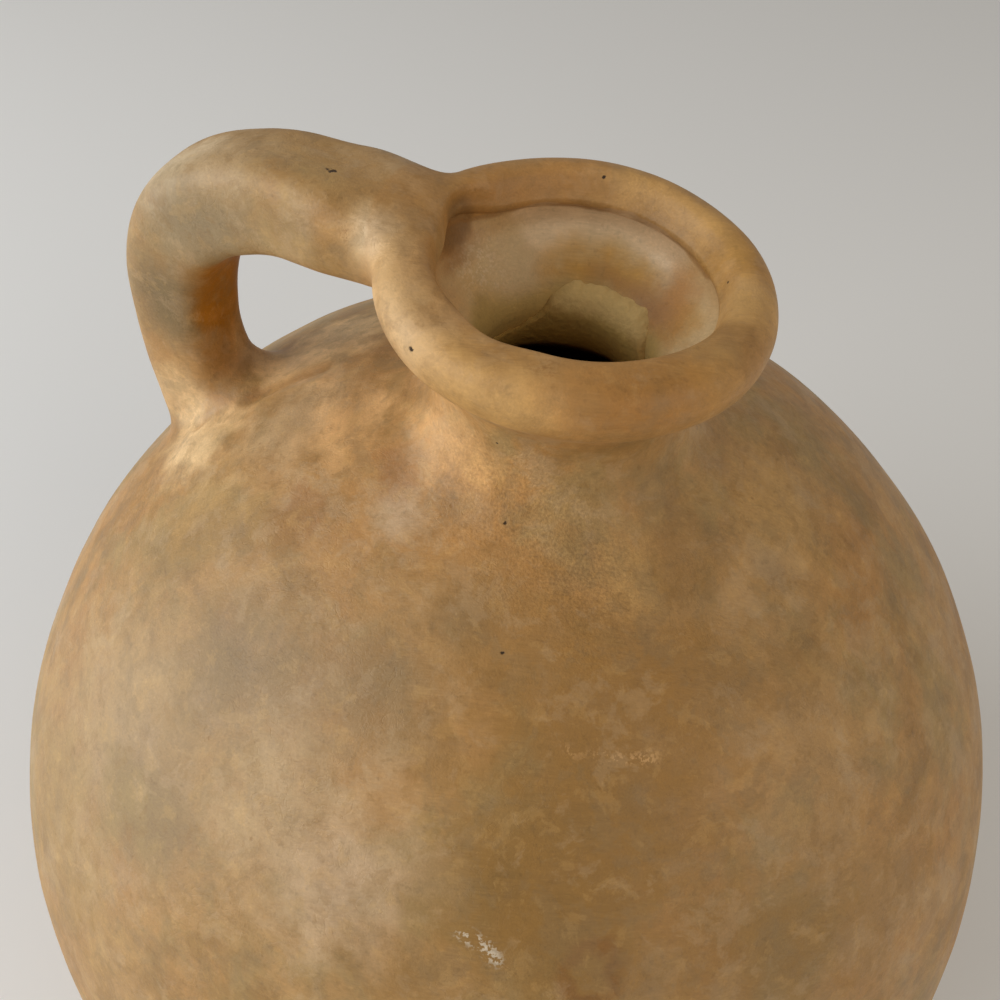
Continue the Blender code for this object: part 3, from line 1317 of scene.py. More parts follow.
@dataclass(frozen=True)
class BurnishedClay:
    """Low-fired earthenware, rubbed smooth: cloudy tan with honey, khaki, rust and beige in it."""

    name: str = "burnished_earthenware"
    roughness: float = 0.52
    blot_roughness: float = 0.3
    grit_roughness: float = 0.15
    pit_roughness: float = 0.4
    specular: float = 0.40
    bump: float = 0.30
    bump_depth: float = 0.0006
    wring: Clouds = Clouds(0.016, 3.0, 0.6)
    wide_wring: float = 0.010
    near_wring: float = 0.007
    pattern: GrainForm = GrainForm()
    fired: tuple[CloudLayer, ...] = (
        CloudLayer(Clouds(0.045, 4.0), (Tint(HONEY, 0.40, 0.62, 0.65),)),
        CloudLayer(
            Clouds(0.030, 6.0, 0.66, 0.2, (0.31, 0.17, 0.43)),
            (Tint(KHAKI, 0.48, 0.64, 0.75), Tint(BEIGE, 0.46, 0.32, 0.50)),
        ),
        CloudLayer(
            Clouds(0.016, 7.0, 0.68, 0.1, (0.71, 0.53, 0.19)),
            (Tint(BROWN, 0.52, 0.60, 0.40), Tint(BEIGE, 0.47, 0.38, 0.42)),
        ),
    )
    worn: tuple[CloudLayer, ...] = (
        CloudLayer(
            Clouds(0.009, 6.0, 0.68, 0.1, (0.11, 0.93, 0.67)),
            (Tint(GREY, 0.53, 0.61, 0.30), Tint(BEIGE, 0.46, 0.38, 0.26)),
        ),
        CloudLayer(
            Clouds(0.0045, 5.0, 0.66, moved=(0.57, 0.29, 0.83)),
            (Tint(BROWN, 0.55, 0.62, 0.22), Tint(SAND, 0.45, 0.38, 0.17)),
        ),
    )
    blot_shade: float = 0.58
    stroke_shade: float = 0.34
    turning_shade: float = 0.16
    dust_shade: float = 0.11
    grit_shade: float = 0.8
    dark_fleck_range: Pair = (0.58, 0.74)
    dark_fleck_shade: float = 0.12
    pale_fleck_range: Pair = (0.42, 0.28)
    pale_fleck_shade: float = 0.08
    speck_share: float = 0.28
    fleck_relief: float = 0.35
    dust_relief: float = 0.20
    grit_relief: float = 0.8
    blot_relief: float = 0.9
    stroke_relief: float = 0.22
    turning_relief: float = 0.18
    pit_relief: float = 1.5
    speck_relief: float = 0.4
    mark_relief: float = 0.15
    mouth: Mouth = Mouth()
    bore_tone: Colour = (0.500, 0.300, 0.085)
    cup_tone: Colour = (0.650, 0.465, 0.240)
    cup_blots: Tint = Tint(BEIGE, 0.40, 0.62, 0.5)
    # Darker towards the bottom of the cup: partly residue, partly painted shade where less light reaches
    # into the throat.
    cup_bottom: Tint = Tint(DUN, 0.2300, 0.2260, 0.8)
    cup_bottom_uneven: float = 0.004
    # Painted shade: umber along the top of the cup's wall, under the lip's overhang.
    cup_brow_painted_shade: Tint = Tint(UMBER, 0.2385, 0.2393, 0.6)
    lip_share: float = 0.32
    # Real stains, with patches of painted light and shade among them; each painted one has a comment.
    stains_and_painted_light: tuple[StainOrPaintedLight, ...] = (
        StainOrPaintedLight((-0.0514, -0.0606, 0.1778), 0.040, KHAKI, 0.50),
        StainOrPaintedLight((-0.0563, -0.0672, 0.1671), 0.034, BEIGE, 0.50),
        StainOrPaintedLight((-0.0620, -0.0780, 0.1450), 0.040, KHAKI, 0.60),
        StainOrPaintedLight((-0.0434, -0.0136, 0.2031), 0.018, BEIGE, 0.75),
        StainOrPaintedLight((-0.0325, -0.0140, 0.2081), 0.0130, PEACH, 0.95),
        StainOrPaintedLight((-0.0313, -0.0332, 0.2039), 0.0075, RUST, 0.70, Edge.RAGGED),
        StainOrPaintedLight((-0.0536, -0.0359, 0.1914), 0.0070, BROWN, 0.50, Edge.RAGGED, (-0.0330, -0.0365, 0.2010)),
        StainOrPaintedLight((-0.0191, -0.0237, 0.2106), 0.0065, RUST, 0.75, Edge.RAGGED),
        StainOrPaintedLight((0.0016, -0.0411, 0.2059), 0.0095, GREY, 0.75),
        StainOrPaintedLight((-0.0330, -0.0560, 0.1912), 0.0170, GREY, 0.85),
        StainOrPaintedLight((-0.0055, -0.0544, 0.1989), 0.0130, GREY, 0.70),
        StainOrPaintedLight((-0.0220, -0.0590, 0.1925), 0.0150, GREY, 0.45),
        StainOrPaintedLight((-0.0390, -0.0760, 0.1705), 0.0200, GREY, 0.85),
        StainOrPaintedLight((0.0115, -0.0420, 0.2044), 0.0140, BROWN, 0.45, Edge.RAGGED),
        StainOrPaintedLight((0.0251, -0.0470, 0.1990), 0.0210, BROWN, 0.85),
        StainOrPaintedLight((0.0330, -0.0355, 0.2015), 0.0200, BROWN, 0.85),
        StainOrPaintedLight((0.0205, -0.0094, 0.2188), 0.0090, BROWN, 0.30, Edge.CRISP, (0.0291, -0.0173, 0.2085)),
        StainOrPaintedLight((0.0372, -0.0533, 0.1910), 0.0220, BROWN, 0.85),
        StainOrPaintedLight((0.0240, -0.0680, 0.1838), 0.0250, BROWN, 0.92),
        StainOrPaintedLight((0.0580, -0.0570, 0.1720), 0.0240, BROWN, 0.65),
        StainOrPaintedLight((0.0411, -0.0709, 0.1753), 0.0180, BROWN, 0.60),
        StainOrPaintedLight((0.0415, 0.0050, 0.2055), 0.0190, SAND, 0.50),
        StainOrPaintedLight((-0.0520, -0.0312, 0.1947), 0.0150, SAND, 0.35),
        StainOrPaintedLight((-0.0100, -0.0735, 0.1832), 0.0260, BEIGE, 0.70),
        StainOrPaintedLight((0.0000, -0.0790, 0.1795), 0.0170, BLUSH, 0.60),
        StainOrPaintedLight((0.0420, -0.0330, 0.1990), 0.0150, BROWN, 0.40),
        StainOrPaintedLight((-0.0426, -0.0765, 0.1676), 0.0130, KHAKI, 0.80),
        StainOrPaintedLight((-0.0154, -0.0303, 0.2082), 0.0070, CHALK, 0.25),
        StainOrPaintedLight((-0.0578, -0.0085, 0.2357), 0.026, KHAKI, 0.80),
        StainOrPaintedLight((-0.0840, -0.0080, 0.2200), 0.026, KHAKI, 0.60),
        # Painted shade: near-black in the cup's far-left corner, under the lip's overhang.
        StainOrPaintedLight((-0.0238, 0.0068, 0.2398), 0.0048, SHADE_BLACK, 0.70, Edge.CRISP),
        # Painted highlight: pale sheen along the upper left of the strap's crown.
        StainOrPaintedLight((-0.0800, -0.0060, 0.2390), 0.0110, CREAM, 0.45),
        StainOrPaintedLight((-0.0700, -0.0036, 0.2415), 0.0080, CREAM, 0.80),
        StainOrPaintedLight((-0.0735, -0.0055, 0.2385), 0.0080, PALE, 0.85, Edge.SOFT, (-0.0655, -0.0022, 0.2446)),
        StainOrPaintedLight((-0.0605, -0.0096, 0.2370), 0.0065, GREY, 0.65, Edge.SOFT, (-0.0535, -0.0096, 0.2392)),
        StainOrPaintedLight((-0.0739, -0.0078, 0.2155), 0.0145, GREY, 1.0),
        StainOrPaintedLight((-0.0732, -0.0080, 0.2170), 0.0085, MOSS, 0.85, Edge.SOFT, (-0.0735, -0.0079, 0.2110)),
        StainOrPaintedLight((-0.0660, -0.0093, 0.2360), 0.0180, STONE, 0.75),
        StainOrPaintedLight((-0.0400, -0.0105, 0.2430), 0.0130, KHAKI, 0.60),
        StainOrPaintedLight((-0.0570, -0.0030, 0.2480), 0.0120, BEIGE, 0.70),
        # Painted shade and painted reflection: deep amber on the leg's inner face, turned from the
        # window and lit only by orange light from the body.
        StainOrPaintedLight((-0.0668, 0.0010, 0.2105), 0.0088, AMBER, 1.0, Edge.CRISP, (-0.0660, 0.0010, 0.2230)),
        StainOrPaintedLight((-0.0674, -0.0042, 0.2135), 0.0060, AMBER, 0.90, Edge.SOFT, (-0.0656, -0.0044, 0.2228)),
        StainOrPaintedLight((-0.0678, -0.0030, 0.2030), 0.0075, AMBER, 0.35),
        StainOrPaintedLight((-0.0757, -0.0080, 0.1905), 0.0110, CREAM, 0.55),
        # Partly pale clay, partly painted highlight: the foot's pad, which faces up towards the window.
        StainOrPaintedLight((-0.0690, -0.0150, 0.1865), 0.0120, CREAM, 1.0, Edge.SOFT, (-0.0625, -0.0172, 0.1912)),
        # Painted light: pale patches on the shoulder behind the strap's leg, which cancel the leg's cast
        # shadow there.
        StainOrPaintedLight((-0.0530, 0.0043, 0.1995), 0.0190, PEACH, 1.0),
        StainOrPaintedLight((-0.0541, 0.0043, 0.1987), 0.0110, CREAM, 0.50),
        StainOrPaintedLight((-0.0500, 0.0140, 0.2000), 0.0170, CREAM, 0.95),
        # Painted highlight: the bright front-left of the neck under the lip, which faces the window.
        StainOrPaintedLight((-0.0119, -0.0185, 0.2187), 0.0120, PEACH, 0.70),
        # Painted highlight: the bright spot where the strap's root meets the lip.
        StainOrPaintedLight((-0.0293, -0.0106, 0.2457), 0.0082, CREAM, 1.0),
        StainOrPaintedLight((-0.0295, -0.0100, 0.2461), 0.0055, PALE, 1.0),
        StainOrPaintedLight((-0.0348, -0.0115, 0.2405), 0.0075, BROWN, 0.60),
        StainOrPaintedLight((-0.0370, -0.0112, 0.2462), 0.0070, HONEY, 0.50),
        StainOrPaintedLight((-0.0590, -0.0067, 0.1951), 0.0026, RUST, 0.60, Edge.SOFT, (-0.0461, 0.0003, 0.2028)),
        StainOrPaintedLight((-0.0690, -0.0116, 0.1887), 0.0026, RUST, 0.50, Edge.SOFT, (-0.0585, -0.0039, 0.1956)),
        StainOrPaintedLight((-0.0246, -0.0161, 0.2451), 0.0090, CREAM, 0.85, Edge.SOFT, (-0.0148, -0.0273, 0.2426)),
        StainOrPaintedLight((-0.0060, -0.0300, 0.2415), 0.0110, SAND, 0.95, Edge.SOFT, (0.0010, -0.0310, 0.2400)),
        StainOrPaintedLight((-0.0120, -0.0215, 0.2458), 0.0060, BEIGE, 0.35),
        StainOrPaintedLight((0.0160, -0.0255, 0.2440), 0.0110, HONEY, 1.0),
        StainOrPaintedLight((-0.0200, -0.0130, 0.2460), 0.0080, HONEY, 0.40),
        StainOrPaintedLight((0.0150, -0.0265, 0.2440), 0.0080, UMBER, 0.30),
        StainOrPaintedLight((0.0258, 0.0033, 0.2443), 0.0105, SAND, 1.0),
        StainOrPaintedLight((0.0013, 0.0247, 0.2446), 0.0075, SAND, 0.75, Edge.SOFT, (0.0135, 0.0205, 0.2443)),
        StainOrPaintedLight((-0.0113, 0.0208, 0.2440), 0.0080, HONEY, 0.60, Edge.SOFT, (-0.0193, 0.0139, 0.2449)),
        StainOrPaintedLight((0.0040, -0.0265, 0.2455), 0.0040, UMBER, 0.55, Edge.FLECKED),
        StainOrPaintedLight((0.0261, -0.0143, 0.2440), 0.0090, GOLD, 0.45),
        StainOrPaintedLight((0.0209, 0.0155, 0.2446), 0.0100, GOLD, 0.60),
        StainOrPaintedLight((0.0160, -0.0255, 0.2440), 0.0100, AMBER, 0.35),
        StainOrPaintedLight((0.0079, -0.0285, 0.2441), 0.0080, HONEY, 0.45),
        StainOrPaintedLight((0.0219, -0.0193, 0.2441), 0.0085, AMBER, 0.40),
        StainOrPaintedLight((0.0001, -0.0293, 0.2365), 0.0080, SAND, 0.60),
        StainOrPaintedLight((0.0228, -0.0250, 0.2086), 0.0100, SAND, 0.45),
        StainOrPaintedLight((0.0270, -0.0400, 0.2005), 0.0360, HONEY, 0.22),
        StainOrPaintedLight((0.0300, -0.0640, 0.1850), 0.0300, BROWN, 0.35),
        StainOrPaintedLight((0.0736, -0.0460, 0.1685), 0.0250, BROWN, 0.50),
        StainOrPaintedLight((-0.0141, -0.0555, 0.1972), 0.0170, GREY, 0.45),
        StainOrPaintedLight((-0.0336, -0.0111, 0.2446), 0.0016, UMBER, 0.75, Edge.FLECKED),
        StainOrPaintedLight((0.0192, -0.0757, 0.1796), 0.0020, CHALK, 0.80, Edge.FLECKED, (0.0244, -0.0763, 0.1775)),
        StainOrPaintedLight((0.0382, -0.0719, 0.1759), 0.0070, UMBER, 1.1, Edge.RING),
        StainOrPaintedLight((0.0240, -0.0515, 0.1966), 0.0021, PEACH, 0.80, Edge.FLECKED, (0.0350, -0.0455, 0.1962)),
    )
    # Stains in the cup, with painted shade in its far-left corner and above the smear's step.
    cup_stains_and_painted_shade: tuple[StainOrPaintedLight, ...] = (
        StainOrPaintedLight((-0.0123, 0.0185, 0.2385), 0.0066, PALE, 1.0, Edge.CRISP, (0.0090, 0.0218, 0.2380)),
        StainOrPaintedLight((-0.0065, 0.0165, 0.2305), 0.0075, GOLD, 1.0, Edge.SOFT, (0.0040, 0.0194, 0.2310)),
        StainOrPaintedLight((0.0087, 0.0161, 0.2300), 0.0080, GOLD, 1.0, Edge.SOFT, (0.0150, 0.0125, 0.2310)),
        StainOrPaintedLight((0.0133, 0.0128, 0.2295), 0.0080, HONEY, 0.95, Edge.SOFT, (0.0131, 0.0170, 0.2328)),
        StainOrPaintedLight((0.0175, 0.0135, 0.2375), 0.0050, BEIGE, 0.50),
        StainOrPaintedLight((-0.0213, 0.0002, 0.2344), 0.0080, HONEY, 0.45, Edge.SOFT, (-0.0180, -0.0100, 0.2330)),
        StainOrPaintedLight((-0.0165, 0.0035, 0.2290), 0.0070, SAND, 0.70),
        StainOrPaintedLight((-0.0185, 0.0070, 0.2335), 0.0090, PALE, 0.50, Edge.FLECKED),
        # Painted shade: dark umber and near-black in the cup's far-left corner, under the lip's
        # overhang.
        StainOrPaintedLight((-0.0228, 0.0045, 0.2395), 0.0090, UMBER, 1.0),
        StainOrPaintedLight((-0.0238, 0.0062, 0.2392), 0.0050, SHADE_BLACK, 0.70, Edge.CRISP),
        # Painted shadow: a dark line just above the smear's step.
        StainOrPaintedLight((-0.0020, 0.0172, 0.2292), 0.0045, RUST, 0.60, Edge.SOFT, (0.0092, 0.0151, 0.2288)),
        StainOrPaintedLight((0.0095, 0.0148, 0.2290), 0.0065, RUST, 0.50),
    )
    pits: tuple[Pit, ...] = (
        Pit((0.0017, -0.0265, 0.2127), 0.00034),
        Pit((0.0092, -0.0435, 0.2041), 0.00036),
        Pit((-0.0027, -0.0216, 0.2242), 0.00027),
        Pit((-0.0148, -0.0273, 0.2426), 0.00055),
        Pit((-0.0048, 0.0240, 0.2445), 0.0004),
        Pit((0.0211, 0.0096, 0.2425), 0.0003),
        Pit((-0.0403, -0.0031, 0.2496), 0.0008),
        Pit((-0.0412, -0.0029, 0.2496), 0.0007),
    )
    grit: StainOrPaintedLight = StainOrPaintedLight(
        (-0.0013, -0.0224, 0.2173), 0.017, CHALK, 1.0, Edge.SOFT, (0.0170, -0.0290, 0.2090)
    )

    @staticmethod
    def stained_and_painted(board: Board, at: Wire, tone: Input, grain: Grain, stains_and_painted_light: Sequence[StainOrPaintedLight]) -> Input:
        """The tone with each stain and each patch of painted light or shade laid over it.

        Args:
            board: The material's nodes.
            at: Where the stains are read.
            tone: The colour below them.
            grain: The clay's fine pattern.
            stains_and_painted_light: The stains and patches of painted light and shade, from the lowest
                to the uppermost.

        Returns:
            The new tone.
        """
        for stain in stains_and_painted_light:
            tone = board.colour(stain.share(board, at, grain), tone, stain.tone)
        return tone

    def line_cup(self, board: Board, at: Wire, tone: Input, grain: Grain) -> Wire:
        """The tone with the paler, drier wall of the cup in it, painted shade under the lip's edge, the
        bore below and the warm lip above.

        Args:
            board: The material's nodes.
            at: Where the zones are read.
            tone: The colour of the other clay.
            grain: The clay's fine pattern.

        Returns:
            The new tone.
        """
        x, y, height = board.parts(at)
        radius = board.math("SQRT", x * x + y * y)
        lining = self.cup_blots.over(board, grain.blots, self.cup_tone)
        lining = self.stained_and_painted(board, at, lining, grain, self.cup_stains_and_painted_shade)
        uneven = height + (grain.blots - 0.5) * self.cup_bottom_uneven
        lining = self.cup_bottom.over(board, uneven, lining)
        # Painted shade under the lip's edge.
        lining = self.cup_brow_painted_shade.over(board, height, lining)
        tone = board.colour(self.mouth.cup(radius, height), tone, lining)
        tone = board.colour(self.mouth.bore(radius, height), tone, self.bore_tone)
        return board.colour(self.mouth.lip(radius, height) * self.lip_share, tone, HONEY)

    def mottle(self, grain: Grain, gritty: Wire) -> Wire:
        """How much lighter or darker the fine pattern makes the clay.

        Args:
            grain: The clay's fine pattern.
            gritty: How much grit shows.

        Returns:
            A factor about 1.
        """
        mottle = (grain.blots - 0.5) * self.blot_shade + (grain.strokes - 0.5) * self.stroke_shade
        mottle = mottle + (grain.turning - 0.5) * self.turning_shade
        mottle = mottle + (grain.dust - 0.5) * (self.dust_shade + gritty * self.grit_shade) + 1.0
        mottle = mottle - grain.flecks.ramp(*self.dark_fleck_range) * self.dark_fleck_shade
        return mottle + grain.flecks.ramp(*self.pale_fleck_range) * self.pale_fleck_shade

    def relief(self, grain: Grain, gritty: Wire, holes: Wire) -> Wire:
        """The height of the fine pattern.

        Args:
            grain: The clay's fine pattern.
            gritty: How much grit shows.
            holes: How deep the pits are.

        Returns:
            A height for the bump.
        """
        height = grain.flecks * self.fleck_relief + grain.blots * self.blot_relief
        height = height + grain.dust * (self.dust_relief + gritty * self.grit_relief)
        height = height + grain.strokes * self.stroke_relief + grain.turning * self.turning_relief
        height = height - holes * self.pit_relief - grain.specks * self.speck_relief
        return height - grain.marks * self.mark_relief

    def make(self) -> bpy.types.Material:
        """Builds the material.

        Returns:
            The material.
        """
        board = Board(self.name)
        at = board.place()
        wring = board.vector("SUBTRACT", self.wring.lay(board, at, "Color"), (0.5, 0.5, 0.5))
        wide = board.vector("MULTIPLY_ADD", wring, (self.wide_wring,) * 3, at)
        near = board.vector("MULTIPLY_ADD", wring, (self.near_wring,) * 3, at)
        grain = self.pattern.lay(board, at)
        tone: Input = TAN
        for layer in self.fired:
            tone = layer.over(board, wide, tone)
        tone = self.stained_and_painted(board, near, tone, grain, self.stains_and_painted_light)
        for layer in self.worn:
            tone = layer.over(board, wide, tone)
        tone = self.line_cup(board, near, tone, grain)
        gritty = self.grit.share(board, near, grain)
        tone = board.scale(tone, self.mottle(grain, gritty))
        tone = board.colour(grain.specks * self.speck_share, tone, UMBER)
        holes: Value = 0.0
        for pit in self.pits:
            holes = pit.share(board, at, grain) + holes
        # Painted shade: the pits' holes are coloured near-black.
        board.feed(board.shader.inputs["Base Color"], board.colour(holes, tone, SHADE_BLACK))
        dull = (grain.blots - 0.5) * self.blot_roughness + gritty * self.grit_roughness
        dull = dull + holes * self.pit_roughness + self.roughness
        board.feed(board.shader.inputs["Roughness"], dull)
        height = self.relief(grain, gritty, holes)
        inputs = {"Strength": self.bump, "Distance": self.bump_depth, "Height": height}
        board.feed(board.shader.inputs["Normal"], board.node("ShaderNodeBump", {}, inputs))
        board.feed(board.shader.inputs["Specular IOR Level"], self.specular)
        return board.material


@dataclass(frozen=True)
class SmearClay:
    """The rough clay that a finger worked round the throat, dark below and pale at its torn edge; the
    pale edge fades out towards -X as painted shade.
    """

    name: str = "smeared_clay"
    tone: Colour = DUN
    clouds: Clouds = Clouds(0.009, 4.0, 0.6)
    flecks: Clouds = Clouds(0.0012, 3.0, 0.6)
    stain: Tint = Tint((0.380, 0.225, 0.060), 0.46, 0.66)
    edge: Colour = (0.640, 0.455, 0.190)
    edge_rise: Pair = (0.2235, 0.2265)
    edge_uneven: float = 0.001
    # Painted shade: the smear's pale clay edge fades out towards -X, where the throat lies in shadow.
    edge_fade_to_shade: Pair = (-0.0110, -0.0040)
    edge_share: float = 0.8
    deep: Tint = Tint((0.480, 0.285, 0.060), 0.2245, 0.2180)
    fleck_shade: float = 0.4
    roughness: float = 0.85
    bump: float = 0.5
    bump_depth: float = 0.0006

    def make(self) -> bpy.types.Material:
        """Builds the material.

        Returns:
            The material.
        """
        board = Board(self.name)
        at = board.place()
        x, _, height = board.parts(at)
        clouds = self.clouds.lay(board, at)
        flecks = self.flecks.lay(board, at)
        tone = self.stain.over(board, clouds, self.tone)
        pale = (height + (flecks - 0.5) * self.edge_uneven).ramp(*self.edge_rise)
        # Painted shade: the pale edge is kept to the lit +X side.
        pale = pale * x.ramp(*self.edge_fade_to_shade)
        tone = board.colour(pale * self.edge_share, tone, self.edge)
        tone = self.deep.over(board, height, tone)
        tone = board.scale(tone, 1.0 + (flecks - 0.5) * self.fleck_shade)
        board.feed(board.shader.inputs["Base Color"], tone)
        board.feed(board.shader.inputs["Roughness"], self.roughness)
        inputs = {"Strength": self.bump, "Distance": self.bump_depth, "Height": flecks + clouds}
        board.feed(board.shader.inputs["Normal"], board.node("ShaderNodeBump", {}, inputs))
        return board.material


@dataclass
class ClayPiece:
    """A clay piece of the jug: its name, the solids that it stands for, and its slot."""

    jug: JugForm
    hand: HandWork
    name: str = ""
    stands_for: tuple[str, ...] = ()
    slot: Slot = Slot.BODY

    def shape(self) -> bpy.types.Object:
        """Models the piece as turned or pulled, before the hand has worked it."""
        raise NotImplementedError

    def build(self) -> bpy.types.Object:
        """Models the piece and leaves the marks of the hand on it.

        Returns:
            The piece.
        """
        piece = self.shape()
        self.hand.work(piece)
        return piece

    def dress(self, piece: bpy.types.Object, finish: bpy.types.Material) -> None:
        """Gives the piece its finish and its place in the frame.

        Args:
            piece: The piece.
            finish: Its material.
        """
        piece.data.materials.clear()
        piece.data.materials.append(finish)
        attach(piece, "root")
        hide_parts(*self.stands_for)
        LOG.info("%s: %d faces", piece.name, len(piece.data.polygons))


@dataclass
class ThrownBowl(ClayPiece):
    """The lower half of the body: flat base, thick floor, and a wall that swells to the widest line."""

    name: str = "thrown_bowl"
    stands_for: tuple[str, ...] = ("lower_body",)
    outside_steps: int = 70
    inside_steps: int = 28
    edge_steps: int = 6
    floor_steps: int = 5
    base_steps: int = 6
    hem: float = 0.001

    def shape(self) -> bpy.types.Object:
        """Throws the bowl.

        Returns:
            The bowl.
        """
        jug = self.jug
        floor_turn = -math.asin((jug.belly_height - jug.floor) / (jug.lower_axis - jug.wall))
        edge_turn = -math.asin((jug.belly_height - jug.base_edge) / jug.lower_axis)
        inside = [
            jug.belly(jug.lower_axis, turn, jug.wall)
            for turn in spread(floor_turn, 0, self.inside_steps)
        ]
        outside = [
            jug.belly(jug.lower_axis, edge_turn * share, 0.0)
            for share in hemmed(self.outside_steps, self.hem)
        ]
        foot = (outside[-1], (jug.base_radius, 0.0), (jug.base_radius - jug.base_edge, 0.0))
        edge = [bezier(foot, share) for share in spread(0, 1, self.edge_steps)[1:]]
        floor = [(radius, jug.floor) for radius in spread(0.0, inside[0][0], self.floor_steps)]
        base = [(radius, 0.0) for radius in spread(edge[-1][0], 0.0, self.base_steps)[1:]]
        return Bench.throw(self.name, floor + inside[1:] + outside + edge + base)


@dataclass
class ShoulderDome(ClayPiece):
    """The upper half of the body, from the widest line to the opening that takes the neck."""

    name: str = "shoulder_dome"
    stands_for: tuple[str, ...] = ("upper_body",)
    outside_steps: int = 96
    inside_steps: int = 24
    hem: float = 0.001

    def shape(self) -> bpy.types.Object:
        """Throws the dome.

        Returns:
            The dome.
        """
        jug = self.jug
        outside = [
            jug.belly(jug.crown_rise, jug.opening_turn * share, 0.0)
            for share in hemmed(self.outside_steps, self.hem)
        ]
        inside = [
            jug.belly(jug.crown_rise, turn, jug.wall)
            for turn in spread(jug.opening_turn, 0.0, self.inside_steps)
        ]
        return Bench.throw(self.name, outside + inside + outside[:1])


@dataclass
class WaistedNeck(ClayPiece):
    """The neck: a flare off the shoulder, a waist, and inside it a cup that narrows to the throat."""

    name: str = "waisted_neck"
    stands_for: tuple[str, ...] = ("neck_collar",)
    outside_steps: int = 30
    inside_steps: int = 36
    hem: float = 0.004

    def shape(self) -> bpy.types.Object:
        """Throws the neck.

        Returns:
            The neck.
        """
        jug = self.jug
        foot = [bezier(jug.neck_foot, share) for share in hemmed(self.outside_steps, self.hem)]
        flare = [bezier(jug.neck_flare, share) for share in hemmed(self.outside_steps, self.hem)]
        cup = [bezier(jug.cup, share) for share in spread(0, 1, self.inside_steps)]
        bell = [bezier(jug.bell, share) for share in spread(0, 1, self.inside_steps // 2)]
        return Bench.throw(self.name, foot + flare[1:] + cup + bell[1:] + foot[:1])


@dataclass
class RolledLip(ClayPiece):
    """The thick rolled lip: a round outside, a broad crest and a bevel to a crisp brink over the cup."""

    name: str = "rolled_lip"
    stands_for: tuple[str, ...] = ("rolled_rim",)
    outside_steps: int = 40
    bevel_steps: int = 36
    hem: float = 0.003
    found_within: float = 1e-5

    def shape(self) -> bpy.types.Object:
        """Throws the lip with its full inside, and thins that to a plain bevel on the far side.

        Returns:
            The lip.
        """
        jug = self.jug
        outside = [
            jug.roll(mix(jug.seat_turn, math.pi / 2, share))
            for share in hemmed(self.outside_steps, self.hem)
        ]
        full, plain = jug.lip_inside(self.bevel_steps, 1.0), jug.lip_inside(self.bevel_steps, 0.0)
        piece = Bench.throw(self.name, outside + full[1:] + outside[:1])
        places = Bench.places(piece)
        radii = np.hypot(places[:, 0], places[:, 1])
        gaps = np.hypot(radii[:, None] - np.array(full)[:, 0], places[:, 2:] - np.array(full)[:, 1])
        nearest = gaps.argmin(axis=1)
        found = gaps[np.arange(len(places)), nearest] < self.found_within
        turns = np.arctan2(places[:, 1], places[:, 0])
        far = 1.0 - np.array([jug.lip_fullness(turn) for turn in turns])
        move = (np.array(plain) - np.array(full))[nearest] * (found * far)[:, None]
        places[:, :2] *= ((radii + move[:, 0]) / radii)[:, None]
        places[:, 2] += move[:, 1]
        Bench.put(piece, places)
        return piece


@dataclass
class ThroatSmear(ClayPiece):
    """The smear of clay round the inside of the neck. One side of it ends in a torn step in the cup."""

    name: str = "throat_smear"
    stands_for: tuple[str, ...] = ("throat_lute",)
    slot: Slot = Slot.LUTING
    thickness: float = 0.0019
    film: float = 0.0003
    sunk: float = 0.0003
    rise: float = 0.0054
    film_rise: float = -0.0025
    drop: float = 0.0110
    step_middle: float = math.radians(84)
    step_half: float = math.radians(62)
    step_end: float = math.radians(42)
    tear: float = 0.0009
    tear_size: float = 0.0056
    tear_octaves: tuple[Pair, ...] = ((1.0, 1.0), (0.6, 2.7), (0.4, 6.1))
    thin_top: float = 0.6
    thin_range: Pair = (0.93, 1.0)
    foot_range: Pair = (-0.02, 0.3)
    steps: int = 30
    samples: int = 400

    def bore(self, heights: np.ndarray) -> np.ndarray:
        """The bore's radius at each height.

        Args:
            heights: The heights.

        Returns:
            One radius for each height.
        """
        jug = self.jug
        shares = spread(1.0, 0.0, self.samples)
        curve = [bezier(jug.bell, share) for share in shares]
        curve += [bezier(jug.cup, share) for share in shares[1:]]
        places = np.array(curve)
        return np.interp(heights, places[:, 1], places[:, 0])

    def torn(self, turn: float) -> float:
        """How far the tear lifts or lowers the edge at a turn round the axis."""
        spot = Vector((math.cos(turn), math.sin(turn), 0.0)) * (self.jug.throat[0] / self.tear_size)
        return self.tear * sum(weight * noise.noise(spot * fine) for weight, fine in self.tear_octaves)

    def shape(self) -> bpy.types.Object:
        """Throws a plain lining, lays it on the bore and tears its upper edge.

        Returns:
            The smear.
        """
        throat = self.jug.throat
        bottom = throat[1] - self.drop
        plain = [(throat[0], height) for height in spread(bottom, throat[1] + self.rise, self.steps)]
        face = [(throat[0] - self.thickness, height) for _, height in plain]
        piece = Bench.throw(self.name, plain + face[::-1] + plain[:1])
        places = Bench.places(piece)
        turns = np.arctan2(places[:, 1], places[:, 0])
        inner = np.hypot(places[:, 0], places[:, 1]) < throat[0] - self.thickness / 2
        shares = (places[:, 2] - bottom) / (self.drop + self.rise)
        from_step = np.abs((turns - self.step_middle + math.pi) % math.tau - math.pi)
        step = ease(from_step, self.step_half, self.step_half - self.step_end)
        tops = self.film_rise + (self.rise - self.film_rise) * step
        tops += np.array([self.torn(turn) for turn in turns])
        heights = bottom + shares * (self.drop + tops)
        depth = self.film + (self.thickness - self.film) * step
        depth = depth * (1.0 - self.thin_top * ease(shares, *self.thin_range))
        depth = depth * ease(shares, *self.foot_range)
        radii = self.bore(heights) - np.where(inner, depth, -self.sunk)
        Bench.put(piece, np.stack([radii * np.cos(turns), radii * np.sin(turns), heights], axis=1))
        return piece


